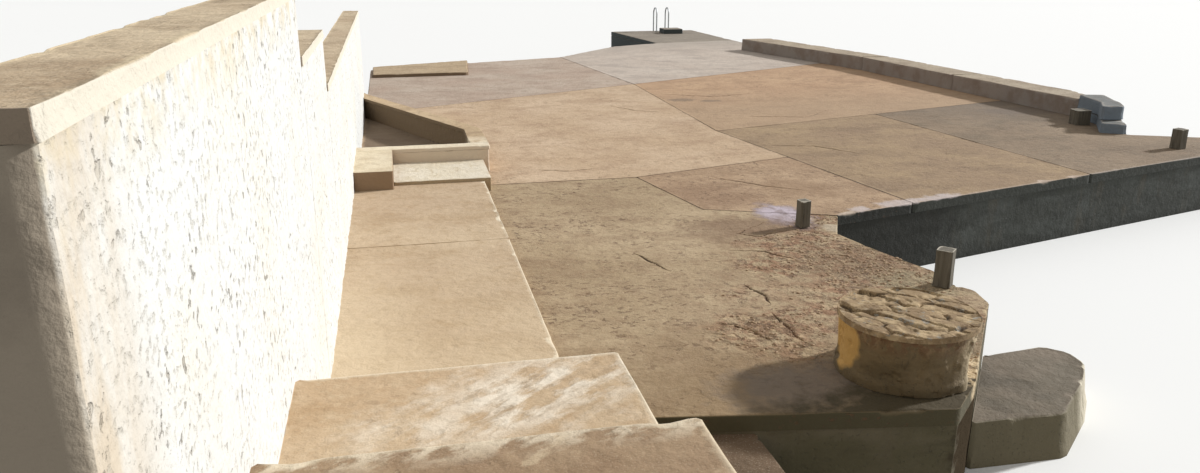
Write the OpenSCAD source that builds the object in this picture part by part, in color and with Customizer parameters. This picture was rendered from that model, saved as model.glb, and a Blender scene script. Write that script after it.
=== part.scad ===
// Small concrete harbour jetty with its retaining wall, steps and mooring gear.
// Plan sizes are taken from the face of the retaining wall (x) and from the
// near end of the steps (y), heights from the foot of the quay. All in mm.

/* [Levels] */
// Height of the deck above the foot of the quay
deck_h = 800; // [700:10:900]
// Thickness of the deck slabs on the mass concrete
slab_t = 120; // [90:5:160]
// Width of the open joints between slabs
joint_w = 14; // [8:1:20]
// Rise of the walkway above the deck
walk_rise = 120; // [60:5:160]

/* [Steps] */
// Width of the steps and of the walkway
steps_w = 1507; // [1350:1:1650]
// Length of the upper landing
upper_landing_l = 1310; // [1150:10:1450]
// Length of the lower landing
lower_landing_l = 1250; // [1100:10:1400]
// Drop from the upper landing to the lower one
landing_drop = 300; // [220:5:340]
// Rise of each step of the flight
riser_h = 200; // [170:5:210]
// Depth of each tread of the flight
tread_d = 300; // [270:5:320]
// Width of the low landing beside the steps
side_landing_w = 1110; // [900:10:1300]
// Drop from the deck to the low landing
side_landing_drop = 135; // [60:5:250]

/* [Retaining wall] */
// Thickness of the wall
wall_t = 240; // [200:5:320]
// Length of the tall bay beside the steps
wall_bay_1_l = 4250; // [4000:10:4500]
// Length of the middle bay
wall_bay_2_l = 1970; // [1700:10:2200]
// Length of the low bay along the walkway
wall_bay_3_l = 9180; // [9000:10:9400]
// Height of the tall bay
wall_bay_1_h = 3380; // [3200:10:3500]
// Height of the middle bay
wall_bay_2_h = 2985; // [2850:5:3100]
// Height of the low bay
wall_bay_3_h = 2555; // [2400:5:2700]
// Thickness of the coping stones
coping_t = 55; // [40:1:80]
// Overhang of the coping past the faces of the wall
coping_over = 12; // [5:1:25]

/* [Planter] */
// Height of the planter walls above the deck
planter_h = 340; // [280:5:420]
// Thickness of the planter walls
planter_wall_t = 220; // [160:5:260]
// Reach of the planter out from the retaining wall
planter_w = 1675; // [1600:5:1750]
// Distance of the planter front from the near end of the steps
planter_y = 10420; // [10300:10:10550]
// Straight length of the planter side before its round corner
planter_side_l = 1150; // [900:10:1300]
// Radius of the round corner, outside
planter_corner_r = 500; // [400:10:600]
// Thickness of the planter coping
planter_coping_t = 45; // [30:1:70]
// Overhang of the planter coping
planter_coping_over = 15; // [5:1:30]
// Width of the seat block in front of the planter
seat_w = 448; // [350:1:550]
// Length of the seat block
seat_l = 1200; // [1100:10:1280]
// Depth of the flat step in front of the planter
flat_step_l = 1010; // [900:10:1060]
// Rise of the flat step above the deck
flat_step_rise = 160; // [140:5:220]
// Distance the flat step reaches past the walkway edge
flat_step_over = 85; // [40:5:120]

/* [Deck outline] */
// Setback of the near deck edge from the foot of the flight
near_setback = 140; // [60:10:240]
// Skew of the near deck edge, in degrees
near_skew = 9.2; // [6:0.1:11]
// Distance of the near corner from the wall face
near_corner_x = 3900; // [3850:5:4000]
// Distance of the basin corner from the wall face
basin_x = 5163; // [5050:1:5300]
// Distance of the basin corner from the near end of the steps
basin_y = 7510; // [7400:10:7620]
// Skew of the wing face, in degrees
wing_skew = 14.8; // [13:0.1:16.5]
// Length of the wing from the basin corner to its tip
wing_l = 8145; // [8000:5:8300]
// Width of the tip
tip_w = 360; // [250:10:500]
// Full length of the jetty
jetty_l = 30500; // [30300:10:30700]
// Length of the head beyond the main deck
head_l = 4230; // [4000:10:4500]
// Width of the head at its far end
head_w = 2903; // [2600:1:3100]

/* [Slab joints] */
// Distance of the walkway joint from the near end of the steps
walk_joint_y = 7060; // [6900:10:7200]
// Distance of the first cross joint from the near end of the steps
near_joint_y = 9690; // [9600:10:9800]
// Place of the wing joint, as a share of the way from the basin corner to the neck
wing_joint_at = 0.263; // [0.25:0.001:0.28]
// Skew of the wing joint, in degrees
wing_joint_skew = 15.4; // [14:0.1:17]
// Place of the far joint, as a share of the same way
far_joint_at = 0.551; // [0.53:0.001:0.57]
// Skew of the far joint, in degrees
far_joint_skew = 25.2; // [23:0.1:26]

/* [Parapet and kerb] */
// Height of the parapet above the deck
parapet_h = 310; // [250:5:400]
// Width of the parapet
parapet_w = 700; // [550:10:800]
// Width of the parapet at its far end
parapet_far_w = 900; // [750:10:1000]
// Height of the end block above the deck
end_block_h = 385; // [340:5:450]
// Height of the low plinth of the end block
end_plinth_h = 160; // [100:5:220]
// Height of the far kerb above the deck
kerb_h = 80; // [50:5:140]

/* [Mooring gear] */
// Diameter of the mooring drum
drum_d = 945; // [860:5:960]
// Height of the mooring drum with its cap
drum_h = 430; // [340:5:460]
// Thickness of the cracked mortar cap on the drum
drum_cap_t = 45; // [30:1:70]
// Side of the square mooring post near the drum
near_post_s = 145; // [130:5:170]
// Height of the near mooring post
near_post_h = 330; // [250:5:380]
// Height of the other mooring posts
far_post_h = 285; // [220:5:340]
// Side of the slim post at the basin corner
slim_post_s = 120; // [90:5:150]
// Side of the mooring post on the wing
wing_post_s = 160; // [140:5:190]
// Side of the stub post beside the parapet
stub_post_s = 240; // [200:5:260]
// Height of the stub post
stub_post_h = 240; // [180:5:300]
// Drop from the deck to the corner ledge
ledge_drop = 460; // [380:5:560]

/* [Ladder] */
// Length of the low plinth in front of the ladder
plinth_l = 640; // [500:10:750]
// Width of the plinth
plinth_w = 670; // [500:10:800]
// Height of the plinth
plinth_h = 150; // [100:5:200]
// Distance of the plinth from the far edge
plinth_in = 650; // [500:10:800]
// Diameter of the ladder tubes
tube_d = 42; // [34:1:50]
// Distance between the centres of the ladder stiles
stile_gap = 420; // [400:5:500]
// Height of the handrails above the deck
rail_h = 800; // [700:10:900]
// Distance of the rail feet from the far edge
rail_foot_in = 330; // [280:5:380]
// Distance of the outer stiles from the far face
stile_out = 75; // [60:1:100]
// Height of one tread above the next
tread_pitch = 220; // [200:5:240]
// Depth of the ladder treads
tread_l = 80; // [60:1:100]
// Thickness of the ladder treads
tread_t = 30; // [24:1:36]

/* [Hidden] */
$fn = 48;
fit = 0.3;

// Levels
slab_z = deck_h - slab_t;
walk_h = deck_h + walk_rise;
flight_risers = 4;
lower_landing_h = walk_h + flight_risers * riser_h;
upper_landing_h = lower_landing_h + landing_drop;
flight_y = upper_landing_l + lower_landing_l;
walk_y = flight_y + (flight_risers - 1) * tread_d;
walk_end_y = planter_y - flat_step_l;

// Intersection of the line through a and b with the line through c and d
function cross2(u, v) = u.x * v.y - u.y * v.x;
function meet(a, b, c, d) = a + (b - a) * cross2(c - a, d - c) / cross2(b - a, d - c);
function along(a, angle, r) = a + r * [cos(angle), sin(angle)];

// Outline of the deck, from the near edge round the basin and the seaward side
// Points along it are shares of three runs: the near edge up to the basin corner,
// the wing out to its tip, and the way from the basin corner to the neck
near_left = [steps_w, walk_y + near_setback];
near_corner = [near_corner_x, near_left.y - (near_corner_x - steps_w) * tan(near_skew)];
basin = [basin_x, basin_y];
near_run = basin_y - near_left.y;
far_run = jetty_l - head_l - basin_y;
cut_bulge = near_corner + near_run * [0.084, 0.0835];
cut_end = basin + near_run * [0.008, -0.69];
worn_edge = concat(
    [cut_bulge, cut_end],
    [for (p = [[0.023, -0.614], [-0.005, -0.563], [0.01, -0.476], [-0.023, -0.381],
               [-0.049, -0.279], [-0.077, -0.159]]) basin + near_run * p],
    [basin]);
function on_face(x) = [x, basin_y + (x - basin_x) * tan(wing_skew)];
tip_near = on_face(basin_x + wing_l);
tip_far = tip_near + [0, tip_w];
nose = tip_far + wing_l * [-0.205, 0.092];
nose_2 = nose + wing_l * [0.052, 0.086];
nose_3 = nose + wing_l * [0.095, 0.184];
nose_4 = nose + wing_l * [0.113, 0.307];
neck = [basin_x + 0.1727 * far_run, jetty_l - head_l];
rail_end = neck + far_run * [0.1434, -0.1263];
sea_bend = rail_end + far_run * [0.0522, -0.2612];
head_left = [neck.x - 0.156 * head_w, jetty_l];
head_right = [head_left.x + head_w, jetty_l];
far_1 = [0, neck.y - 0.256 * far_run];
far_2 = [0.282 * neck.x, neck.y - 0.207 * far_run];
far_3 = [0.58 * neck.x, neck.y - 0.164 * far_run];
far_4 = [0.817 * neck.x, neck.y - 0.038 * far_run];

// Joints between the slabs
split_a = basin + near_run * [-0.348, 0.141];
split_b = [split_a.x - 0.087 * near_run, near_joint_y];
mid_near = on_face(basin_x + 0.133 * wing_l);
mid_wing = [basin_x + 0.041 * wing_l, basin_y + wing_joint_at * far_run];
mid_cross = mid_near + (mid_wing - mid_near) * 0.56;
wing_cut = on_face(basin_x + 0.498 * wing_l);
wing_cut_far = along(mid_wing, wing_joint_skew, 0.411 * wing_l);
wing_sea = meet(mid_wing, along(mid_wing, wing_joint_skew, 1), nose_4, sea_bend);
far_mid = [basin_x + 0.019 * far_run, basin_y + far_joint_at * far_run];
far_sea = meet(far_mid, along(far_mid, far_joint_skew, 1), sea_bend, rail_end);
far_wall = meet(far_mid, along(far_mid, far_joint_skew, 1), [0, 0], [0, 1]);
neck_sea = meet(neck, neck + [1, 0.15], rail_end, head_right);
JOINTS = [
    [[steps_w, near_joint_y], split_b], [split_b, split_a], [split_a, basin],
    [split_b, mid_cross], [mid_near, mid_cross], [mid_cross, mid_wing],
    [wing_cut, wing_cut_far], [mid_wing, wing_cut_far], [wing_cut_far, wing_sea],
    [mid_wing, far_mid], [far_mid, far_wall], [far_mid, far_sea],
    [far_mid, far_3], [neck, neck_sea]
];

// Middle of the whole jetty in plan, where the origin stands
x_lo = -wall_t - coping_over;
x_hi = tip_near.x;
y_lo = -coping_over;
y_hi = jetty_l + stile_out + tube_d / 2;
middle = [(x_lo + x_hi) / 2, (y_lo + y_hi) / 2];

module at_site() { translate([-middle.x, -middle.y, 0]) children(); }

// Upright block on an outline, from height z0 to height z1
module block(points, z0, z1) {
    translate([0, 0, z0]) linear_extrude(z1 - z0) polygon(points);
}

// Upright block on a rectangle
module box(x0, x1, y0, y1, z0, z1) {
    translate([x0, y0, z0]) cube([x1 - x0, y1 - y0, z1 - z0]);
}

// Groove of one joint, through the full depth of the slab
module groove(a, b) {
    d = b - a;
    translate([a.x, a.y, slab_z - 1]) rotate(atan2(d.y, d.x))
        translate([-joint_w / 4, -joint_w / 2, 0]) cube([norm(d) + joint_w / 2, joint_w, slab_t + 2]);
}

module slab(points) {
    difference() {
        block(points, slab_z, deck_h);
        for (j = JOINTS) groove(j[0], j[1]);
    }
}

// Mass concrete below the slabs, in four parts that meet face to face
module core_near() {
    color("#5c5a4e") at_site()
        block(concat(
            [[0, walk_y], [steps_w, walk_y], near_left, near_corner], worn_edge,
            [split_a, split_b, [0, near_joint_y]]), 0, slab_z);
}

module core_wing() {
    color("#4a4d49") at_site()
        block([basin, tip_near, tip_far, nose, nose_2, nose_3, nose_4, wing_sea,
               mid_wing, mid_cross, split_b, split_a], 0, slab_z);
}

module core_middle() {
    color("#5c5a4e") at_site()
        block([[0, near_joint_y], split_b, mid_cross, mid_wing, wing_sea, sea_bend,
               far_sea, far_mid, far_wall], 0, slab_z);
}

module core_far() {
    color("#5c5a4e") at_site()
        block([far_wall, far_mid, far_sea, rail_end, neck_sea, neck,
               far_4, far_3, far_2, far_1], 0, slab_z);
}

module head_block() {
    color("#a3957b") at_site() difference() {
        block([neck, neck_sea, head_right, head_left], 0, deck_h);
        groove(neck, neck_sea);
    }
}

// Steps
module side_landing() {
    side_x = steps_w + side_landing_w;
    near_y = near_left.y - side_landing_w * tan(near_skew);
    color("#8d7c62") at_site()
        block([[steps_w, 0], [side_x, 0], [side_x, near_y], near_left], 0, deck_h - side_landing_drop);
}

module upper_landing() {
    color("#b39c7c") at_site() box(0, steps_w, 0, upper_landing_l, 0, upper_landing_h);
}

module lower_landing() {
    color("#c2ab8b") at_site() box(0, steps_w, upper_landing_l, flight_y, 0, lower_landing_h);
}

// Flight cast in one piece, drawn as its side outline with one tread below the other
module flight() {
    treads = [for (i = [1:flight_risers - 1]) each [
        [flight_y + (i - 1) * tread_d, lower_landing_h - i * riser_h],
        [flight_y + i * tread_d, lower_landing_h - i * riser_h]]];
    color("#b39c7c") at_site() rotate([90, 0, 90]) linear_extrude(steps_w)
        polygon(concat([[flight_y, 0]], treads, [[walk_y, 0]]));
}

// Retaining wall in bays that step down, each under its own coping
module wall_bay(y0, l, h) {
    color("#e6e0d2") at_site() box(-wall_t, 0, y0, y0 + l, 0, h - coping_t);
}

module coping(y0, l, h, over_near) {
    color("#b8a283") at_site()
        box(-wall_t - coping_over, coping_over, y0 - over_near, y0 + l, h - coping_t, h);
}

// Walkway along the wall
module walkway_near() {
    color("#c8af8c") at_site()
        box(0, steps_w, walk_y, walk_joint_y - joint_w / 2, slab_z, walk_h);
}

module walkway_far() {
    color("#c8af8c") at_site()
        box(0, steps_w, walk_joint_y + joint_w / 2, walk_end_y, slab_z, walk_h);
}

module flat_step() {
    color("#d6cab2") at_site()
        box(seat_w, steps_w + flat_step_over, walk_end_y, planter_y, deck_h, deck_h + flat_step_rise);
}

// Seat block, which stands partly on the walkway
module seat_block() {
    color("#b9a486") at_site() union() {
        box(0, seat_w, planter_y - seat_l, planter_y, walk_h, deck_h + planter_h);
        box(0, seat_w, walk_end_y, planter_y, deck_h, walk_h + 1);
    }
}

// Planter: the round corner is tangent to the slanting side, which runs back
// to the retaining wall. Each outline lies at a depth inside the outer face.
corner_mid = [planter_w - planter_corner_r, planter_y + planter_side_l];
planter_end = [0, wall_bay_1_l + wall_bay_2_l + wall_bay_3_l];
slant_run = planter_end - corner_mid;
slant_angle = atan2(slant_run.y, slant_run.x) - acos(planter_corner_r / norm(slant_run));
corner_steps = 6;
function planter_curve(depth) = concat(
    [for (i = [0:corner_steps])
        along(corner_mid, slant_angle * i / corner_steps, planter_corner_r - depth)],
    [[0, corner_mid.y + (planter_corner_r - depth + corner_mid.x * cos(slant_angle)) / sin(slant_angle)]]);
function reversed(list) = [for (i = [len(list) - 1:-1:0]) list[i]];
function planter_band(y0, d0, d1) = concat(
    [[planter_w - d0, y0]], planter_curve(d0), reversed(planter_curve(d1)), [[planter_w - d1, y0]]);

module planter_front() {
    top = deck_h + planter_h;
    back_y = planter_y + planter_wall_t;
    color("#b9a486") at_site() union() {
        box(0, planter_w, planter_y, back_y, deck_h, top - planter_coping_t);
        box(0, planter_w + planter_coping_over, planter_y, back_y + planter_coping_over,
            top - planter_coping_t, top);
    }
}

module planter_side() {
    top = deck_h + planter_h;
    back_y = planter_y + planter_wall_t;
    color("#b9a486") at_site() union() {
        block(planter_band(back_y, 0, planter_wall_t), deck_h, top - planter_coping_t);
        block(planter_band(back_y + planter_coping_over, -planter_coping_over,
                           planter_wall_t + planter_coping_over), top - planter_coping_t, top);
    }
}

// Deck slabs
module slab_near() {
    color("#b0977a") at_site()
        slab(concat([near_left, near_corner], worn_edge,
                    [split_a, split_b, [steps_w, near_joint_y]]));
}

module slab_middle() {
    color("#b59b79") at_site() slab([basin, mid_near, mid_cross, split_b, split_a]);
}

module slab_wing_inner() {
    color("#ad967a") at_site() slab([mid_near, wing_cut, wing_cut_far, mid_wing]);
}

module slab_wing_outer() {
    color("#a99478") at_site()
        slab([wing_cut, tip_near, tip_far, nose, nose_2, nose_3, nose_4, wing_sea, wing_cut_far]);
}

module slab_left() {
    color("#c0a988") at_site()
        slab([[0, walk_end_y], [steps_w, walk_end_y], [steps_w, near_joint_y], split_b, mid_cross,
              mid_wing, far_mid, far_wall]);
}

module slab_centre() {
    color("#b59b79") at_site() slab([mid_wing, wing_sea, sea_bend, far_sea, far_mid]);
}

module slab_far_left() {
    color("#b8a890") at_site() slab([far_wall, far_mid, far_3, far_2, far_1]);
}

module slab_pale() {
    color("#cabba6") at_site() slab([far_mid, far_sea, rail_end, neck_sea, neck, far_4, far_3]);
}

// Mooring drum at the cut corner, turned like a bollard: a shallow foot, a
// waist and a mortar cap that stands a little proud
drum_at = near_corner + [-45, 628];
module mooring_drum() {
    r = drum_d / 2;
    body_h = drum_h - drum_cap_t;
    color("#5f4c35") at_site() translate([drum_at.x, drum_at.y, deck_h])
        rotate_extrude($fn = 96) polygon([
            [0, 0], [r, 0], [r, 60], [r - 14, 90], [r - 18, body_h / 2],
            [r - 10, body_h - 30], [r - 6, body_h], [0, body_h]]);
}

module drum_cap() {
    r = drum_d / 2;
    color("#b09b78") at_site() translate([drum_at.x, drum_at.y, deck_h + drum_h - drum_cap_t])
        rotate_extrude($fn = 96) polygon([
            [0, 0], [r, 0], [r + 4, drum_cap_t * 0.35], [r - 2, drum_cap_t * 0.75],
            [r - 22, drum_cap_t], [0, drum_cap_t]]);
}

// Square mooring post with a weathered head cut to a low pyramid
module post(at, s, h, turn) {
    head_h = s * 0.12;
    color("#6b6251") at_site() translate([at.x, at.y, deck_h]) rotate(turn) union() {
        translate([-s / 2, -s / 2, 0]) cube([s, s, h - head_h]);
        translate([0, 0, h - head_h]) linear_extrude(head_h, scale = 0.8) square(s, center = true);
    }
}

wing_post_at = on_face(basin_x + 0.79 * wing_l) + wing_l * [0, 0.064];

// Low ledge at the cut corner, its sides battered towards the deck
module corner_ledge() {
    start = cut_bulge + (cut_end - cut_bulge) * 0.14;
    outline = concat(
        [start],
        [for (p = [[0.209, -0.004], [0.342, 0.111], [0.416, 0.195], [0.419, 0.257], [0.378, 0.3]])
            start + near_run * p],
        [cut_end]);
    color("#787062") at_site() translate([cut_end.x, cut_end.y, 0])
        linear_extrude(deck_h - ledge_drop, scale = 0.95) translate(-cut_end) polygon(outline);
}

// Parapet along the seaward edge, in bays
function sea_x(y) = y < sea_bend.y
    ? meet(nose_4, sea_bend, [0, y], [1, y]).x
    : meet(sea_bend, rail_end, [0, y], [1, y]).x;
parapet_start = nose_3 + wing_l * [0, 0.012];
parapet_y = [parapet_start.y, (parapet_start.y + sea_bend.y) / 2, sea_bend.y, rail_end.y];
parapet_ws = [parapet_w, parapet_w, parapet_w, parapet_far_w];
module parapet_bay(i) {
    y0 = parapet_y[i - 1] + (i == 1 ? 0 : joint_w / 2);
    y1 = parapet_y[i] - (i == 3 ? 0 : joint_w / 2);
    x0 = sea_x(y0);
    outer = i == 1 ? [[sea_x(y1), y1], nose_4, parapet_start] : [[sea_x(y1), y1], [x0, y0]];
    inner = [[(i == 1 ? nose_3.x - 0.657 * parapet_w : x0 - parapet_ws[i - 1]), y0],
             [sea_x(y1) - parapet_ws[i], y1]];
    color("#8f7659") at_site() block(concat(inner, outer), deck_h, deck_h + parapet_h);
}

// End of the parapet: a block that curves in over a low plinth
module parapet_end() {
    inner = [parapet_start - wing_l * [0.055, 0], nose + wing_l * [0.018, 0.104],
             nose + wing_l * [-0.04, 0.025]];
    color("#6f6350") at_site() union() {
        block(concat(inner, [nose, nose_2, nose_3]), deck_h, deck_h + end_plinth_h);
        block([inner[0], inner[1], inner[1] + (inner[2] - inner[1]) * 0.62,
               nose + (nose_2 - nose) * 0.5, nose_2, nose_3],
              deck_h + end_plinth_h - 1, deck_h + end_block_h);
    }
}

module far_kerb() {
    color("#c2b59c") at_site()
        block([far_1 + far_run * [0.0027, -0.077], [0.928 * far_2.x, far_1.y - 0.075 * far_run],
               far_2, far_1 + far_run * [0.0027, 0.001]], deck_h, deck_h + kerb_h);
}

// Swimming ladder: two hooped handrails that run down the far face
ladder_x = head_left.x + 0.603 * head_w;
module tube(h) { cylinder(h = h, d = tube_d); }

// Low plinth in front of the ladder, its near face battered
module ladder_plinth() {
    batter = plinth_h / 6;
    color("#c2b59c") at_site() translate([ladder_x - stile_gap / 2, jetty_l - plinth_in, deck_h])
        rotate([90, 0, 90]) linear_extrude(plinth_l)
            polygon([[-plinth_w, 0], [0, 0], [0, plinth_h], [batter - plinth_w, plinth_h]]);
}

module stile(x) {
    bend_r = (rail_foot_in + stile_out) / 2;
    hoop_z = deck_h + rail_h - bend_r - tube_d / 2;
    translate([x, jetty_l - rail_foot_in, 0]) {
        translate([0, 0, deck_h]) cylinder(h = 10, d = tube_d * 2.4);
        translate([0, 0, deck_h]) tube(hoop_z - deck_h);
        translate([0, bend_r, hoop_z]) rotate([90, 0, 90]) rotate_extrude(angle = 180)
            translate([bend_r, 0]) circle(d = tube_d);
        translate([0, 2 * bend_r, 60]) tube(hoop_z - 60);
    }
    for (z = [200, deck_h - 140]) translate([x, jetty_l, z]) rotate([-90, 0, 0]) {
        cylinder(h = 8, d = tube_d * 2);
        cylinder(h = stile_out, d = tube_d * 0.7);
    }
}

module ladder_frame() {
    color("#9aa0a3") at_site() union() {
        stile(ladder_x - stile_gap / 2);
        stile(ladder_x + stile_gap / 2);
    }
}

module ladder_treads() {
    half = stile_gap / 2 - tube_d / 2 - fit;
    color("#7d8386") at_site() for (i = [0:2])
        box(ladder_x - half, ladder_x + half, jetty_l + stile_out - tread_l / 2,
            jetty_l + stile_out + tube_d / 2, 120 + i * tread_pitch, 120 + tread_t + i * tread_pitch);
}

bay_2_y = wall_bay_1_l;
bay_3_y = wall_bay_1_l + wall_bay_2_l;

core_near();
core_wing();
core_middle();
core_far();
side_landing();
upper_landing();
lower_landing();
flight();
wall_bay(0, wall_bay_1_l, wall_bay_1_h);  // wall_bay_1
wall_bay(bay_2_y, wall_bay_2_l, wall_bay_2_h);  // wall_bay_2
wall_bay(bay_3_y, wall_bay_3_l, wall_bay_3_h);  // wall_bay_3
coping(0, wall_bay_1_l, wall_bay_1_h, coping_over);  // coping_1
coping(bay_2_y, wall_bay_2_l, wall_bay_2_h, 0);  // coping_2
coping(bay_3_y, wall_bay_3_l, wall_bay_3_h, 0);  // coping_3
walkway_near();
walkway_far();
flat_step();
seat_block();
planter_front();
planter_side();
slab_near();
slab_middle();
slab_wing_inner();
slab_wing_outer();
slab_left();
slab_centre();
slab_far_left();
slab_pale();
head_block();
mooring_drum();
drum_cap();
post(basin + near_run * [-0.028, -0.57], near_post_s, near_post_h, -45);  // post_near
post(basin + near_run * [-0.141, -0.079], slim_post_s, far_post_h, 12);  // post_basin
post(wing_post_at, wing_post_s, far_post_h, 15);  // post_tip
post(nose + wing_l * [-0.012, 0.117], stub_post_s, stub_post_h, -5);  // post_stub
corner_ledge();
parapet_bay(1);  // parapet_bay_1
parapet_bay(2);  // parapet_bay_2
parapet_bay(3);  // parapet_bay_3
parapet_end();
far_kerb();
ladder_plinth();
ladder_frame();
ladder_treads();
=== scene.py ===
# %% [markdown]
# # Dressing a small concrete harbour jetty
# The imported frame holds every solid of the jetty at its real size: slabs, walls, steps,
# parapet, mooring gear and ladder. On the real one nothing is as crisp as those solids.
# Arrises are worn round, slabs are spalled and cracked, the wall is rough limewashed stone.
# This lesson keeps each solid's outline and gives it that weathered skin.

# %% Load the frame
import math
import bpy
import numpy as np
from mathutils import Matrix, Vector, bvhtree, geometry


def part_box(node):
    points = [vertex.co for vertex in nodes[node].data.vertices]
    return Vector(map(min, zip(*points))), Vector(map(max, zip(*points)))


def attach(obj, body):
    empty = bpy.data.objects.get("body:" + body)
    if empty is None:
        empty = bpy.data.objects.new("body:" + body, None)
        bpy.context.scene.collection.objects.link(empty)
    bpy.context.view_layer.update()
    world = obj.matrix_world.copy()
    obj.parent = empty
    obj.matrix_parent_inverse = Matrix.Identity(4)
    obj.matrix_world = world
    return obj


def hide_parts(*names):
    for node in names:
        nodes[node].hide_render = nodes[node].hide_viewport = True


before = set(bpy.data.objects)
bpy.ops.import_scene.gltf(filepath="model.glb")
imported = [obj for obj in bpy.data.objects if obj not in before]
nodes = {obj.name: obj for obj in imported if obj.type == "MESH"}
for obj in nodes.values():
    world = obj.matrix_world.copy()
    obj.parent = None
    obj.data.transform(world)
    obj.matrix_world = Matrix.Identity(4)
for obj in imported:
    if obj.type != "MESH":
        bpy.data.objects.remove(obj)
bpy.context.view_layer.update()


def linked(name, data):
    """A new object with this data, in the scene"""
    made = bpy.data.objects.new(name, data)
    bpy.context.scene.collection.objects.link(made)
    return made


# %% [markdown]
# ## The camera
# A wall that runs straight away from us gives the photograph's vanishing point, and the far
# horizon lies above the frame. Both are kept here as named pixels of the 1200 by 473 frame,
# so the turn and tilt of the camera follow from plain trigonometry.

# %% Camera at the photograph's angle
FRAME_PX = (1200, 473)
FOCAL_PX = 933.0
VANISH_PX = (385.0, -53.5)
EYE = Vector((-6.005, -16.792, 3.6))
SENSOR_MM = 36.0
FARTHEST = 500

right_of_vanish = FRAME_PX[0] / 2 - VANISH_PX[0]
below_horizon = FRAME_PX[1] / 2 - VANISH_PX[1]
tilt = math.atan(below_horizon / FOCAL_PX)
turn = math.atan(right_of_vanish / math.hypot(FOCAL_PX, below_horizon))
camera_data = bpy.data.cameras.new("photo_camera")
camera_data.sensor_width = SENSOR_MM
camera_data.lens = SENSOR_MM * FOCAL_PX / FRAME_PX[0]
camera_data.clip_end = FARTHEST
camera = linked("photo_camera", camera_data)
camera.location = EYE
camera.rotation_euler = (math.pi / 2 - tilt, 0, -turn)
bpy.context.scene.camera = camera
print("camera tilt", round(math.degrees(tilt), 2), "turn", round(math.degrees(turn), 2))

# %% [markdown]
# ## Noise in plain numbers
# Worn shapes need one kind of randomness everywhere: smooth bumps of a known size. Blender's
# textures could move vertices, but a few lines of numpy do it for a whole mesh at once and
# give the same result on every run. The lattice hashes whole-number corners, and the bumps
# are blended between them.

# %% Smooth noise
HASH_BITS = 0xFFFFFFFF
HASH_STEPS = np.array([374761393, 668265263, 127412617])
HASH_SEED = 974634777
HASH_STIRS = ((13, 110351524), (15, 224682251))
SEED_SHIFT = 7.31


def lattice(cell, seed):
    """A fixed random number from 0 to 1 for each whole-number corner"""
    h = (cell @ HASH_STEPS + seed * HASH_SEED) & HASH_BITS
    for shift, factor in HASH_STIRS:
        h = ((h ^ (h >> shift)) * factor) & HASH_BITS
    return (h ^ (h >> 16)) / HASH_BITS


def bumps(points, size, seed=0):
    """Smooth noise from 0 to 1, its bumps about `size` metres apart"""
    q = points / size + seed * SEED_SHIFT
    cell = np.floor(q).astype(np.int64)
    t = q - cell
    t = t * t * (3 - 2 * t)
    total = np.zeros(len(q))
    for corner in range(8):
        step = np.array([corner >> 2 & 1, corner >> 1 & 1, corner & 1])
        total += np.prod(np.where(step, t, 1 - t), axis=1) * lattice(cell + step, seed)
    return total


def rough(points, size, layers=4, seed=0):
    """Layers of bumps, each half the size and half the height of the one before"""
    total = sum(bumps(points, size / 2 ** k, seed + k) / 2 ** k for k in range(layers))
    return total / sum(1 / 2 ** k for k in range(layers))


def ease(value, low, high):
    """0 below low, 1 above high and smooth between them"""
    t = np.clip((value - low) / (high - low), 0, 1)
    return t * t * (3 - 2 * t)


tried = rough(np.random.default_rng(1).uniform(-5, 5, (4000, 3)), 0.5)
print("noise runs from", tried.min().round(2), "to", tried.max().round(2))

# %% [markdown]
# ## Outlines from the solids
# Nearly every piece here is an upright block: an outline drawn up from one level to another.
# Slicing the frame's own mesh gives that outline, so the skin always fits the solid, even if
# a size changes. Where the outline changes with height, the piece has one tier per change.

# %% Slice a node
LEVEL_GAP = 0.003
SHORTEST_EDGE = 2e-4
LEAST_BEND = 0.008


def triangles(node):
    """The corners of a node's triangles, three points each"""
    mesh = nodes[node].data
    mesh.calc_loop_triangles()
    co = np.zeros(len(mesh.vertices) * 3, np.float32)
    mesh.vertices.foreach_get("co", co)
    index = np.zeros(len(mesh.loop_triangles) * 3, np.int32)
    mesh.loop_triangles.foreach_get("vertices", index)
    return co.reshape(-1, 3).astype(float)[index].reshape(-1, 3, 3)


solids = {name: triangles(name) for name in nodes}


def search_tree(corners):
    """A tree for finding the faces near a point, from loose triangles of three corners each"""
    faces = [(k, k + 1, k + 2) for k in range(0, len(corners), 3)]
    return bvhtree.BVHTree.FromPolygons(corners.tolist(), faces)


def outlines(node, z):
    """Closed outlines of a node at height z, turning left round the solid"""
    starts, stops = [], []
    for tri in solids[node]:
        ends = []
        for a, b in ((0, 1), (1, 2), (2, 0)):
            p, q = tri[a], tri[b]
            if (p[2] < z) != (q[2] < z):
                ends.append((p + (q - p) * (z - p[2]) / (q[2] - p[2]))[:2])
        if len(ends) == 2 and np.linalg.norm(ends[1] - ends[0]) > 1e-5:
            out = np.cross(tri[1] - tri[0], tri[2] - tri[0])
            if np.dot(ends[1] - ends[0], (-out[1], out[0])) < 0:
                ends.reverse()
            starts.append(ends[0])
            stops.append(ends[1])
    apart = np.linalg.norm(np.array(stops)[:, None] - np.array(starts)[None], axis=2)
    follow = apart.argmin(1)
    loops, left = [], set(range(len(starts)))
    while left:
        here = min(left)
        loop = []
        while here in left:
            left.discard(here)
            loop.append(starts[here])
            here = follow[here]
        loops.append(straightened(np.array(loop)))
    return [loop for loop in loops if len(loop) > 2]


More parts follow.
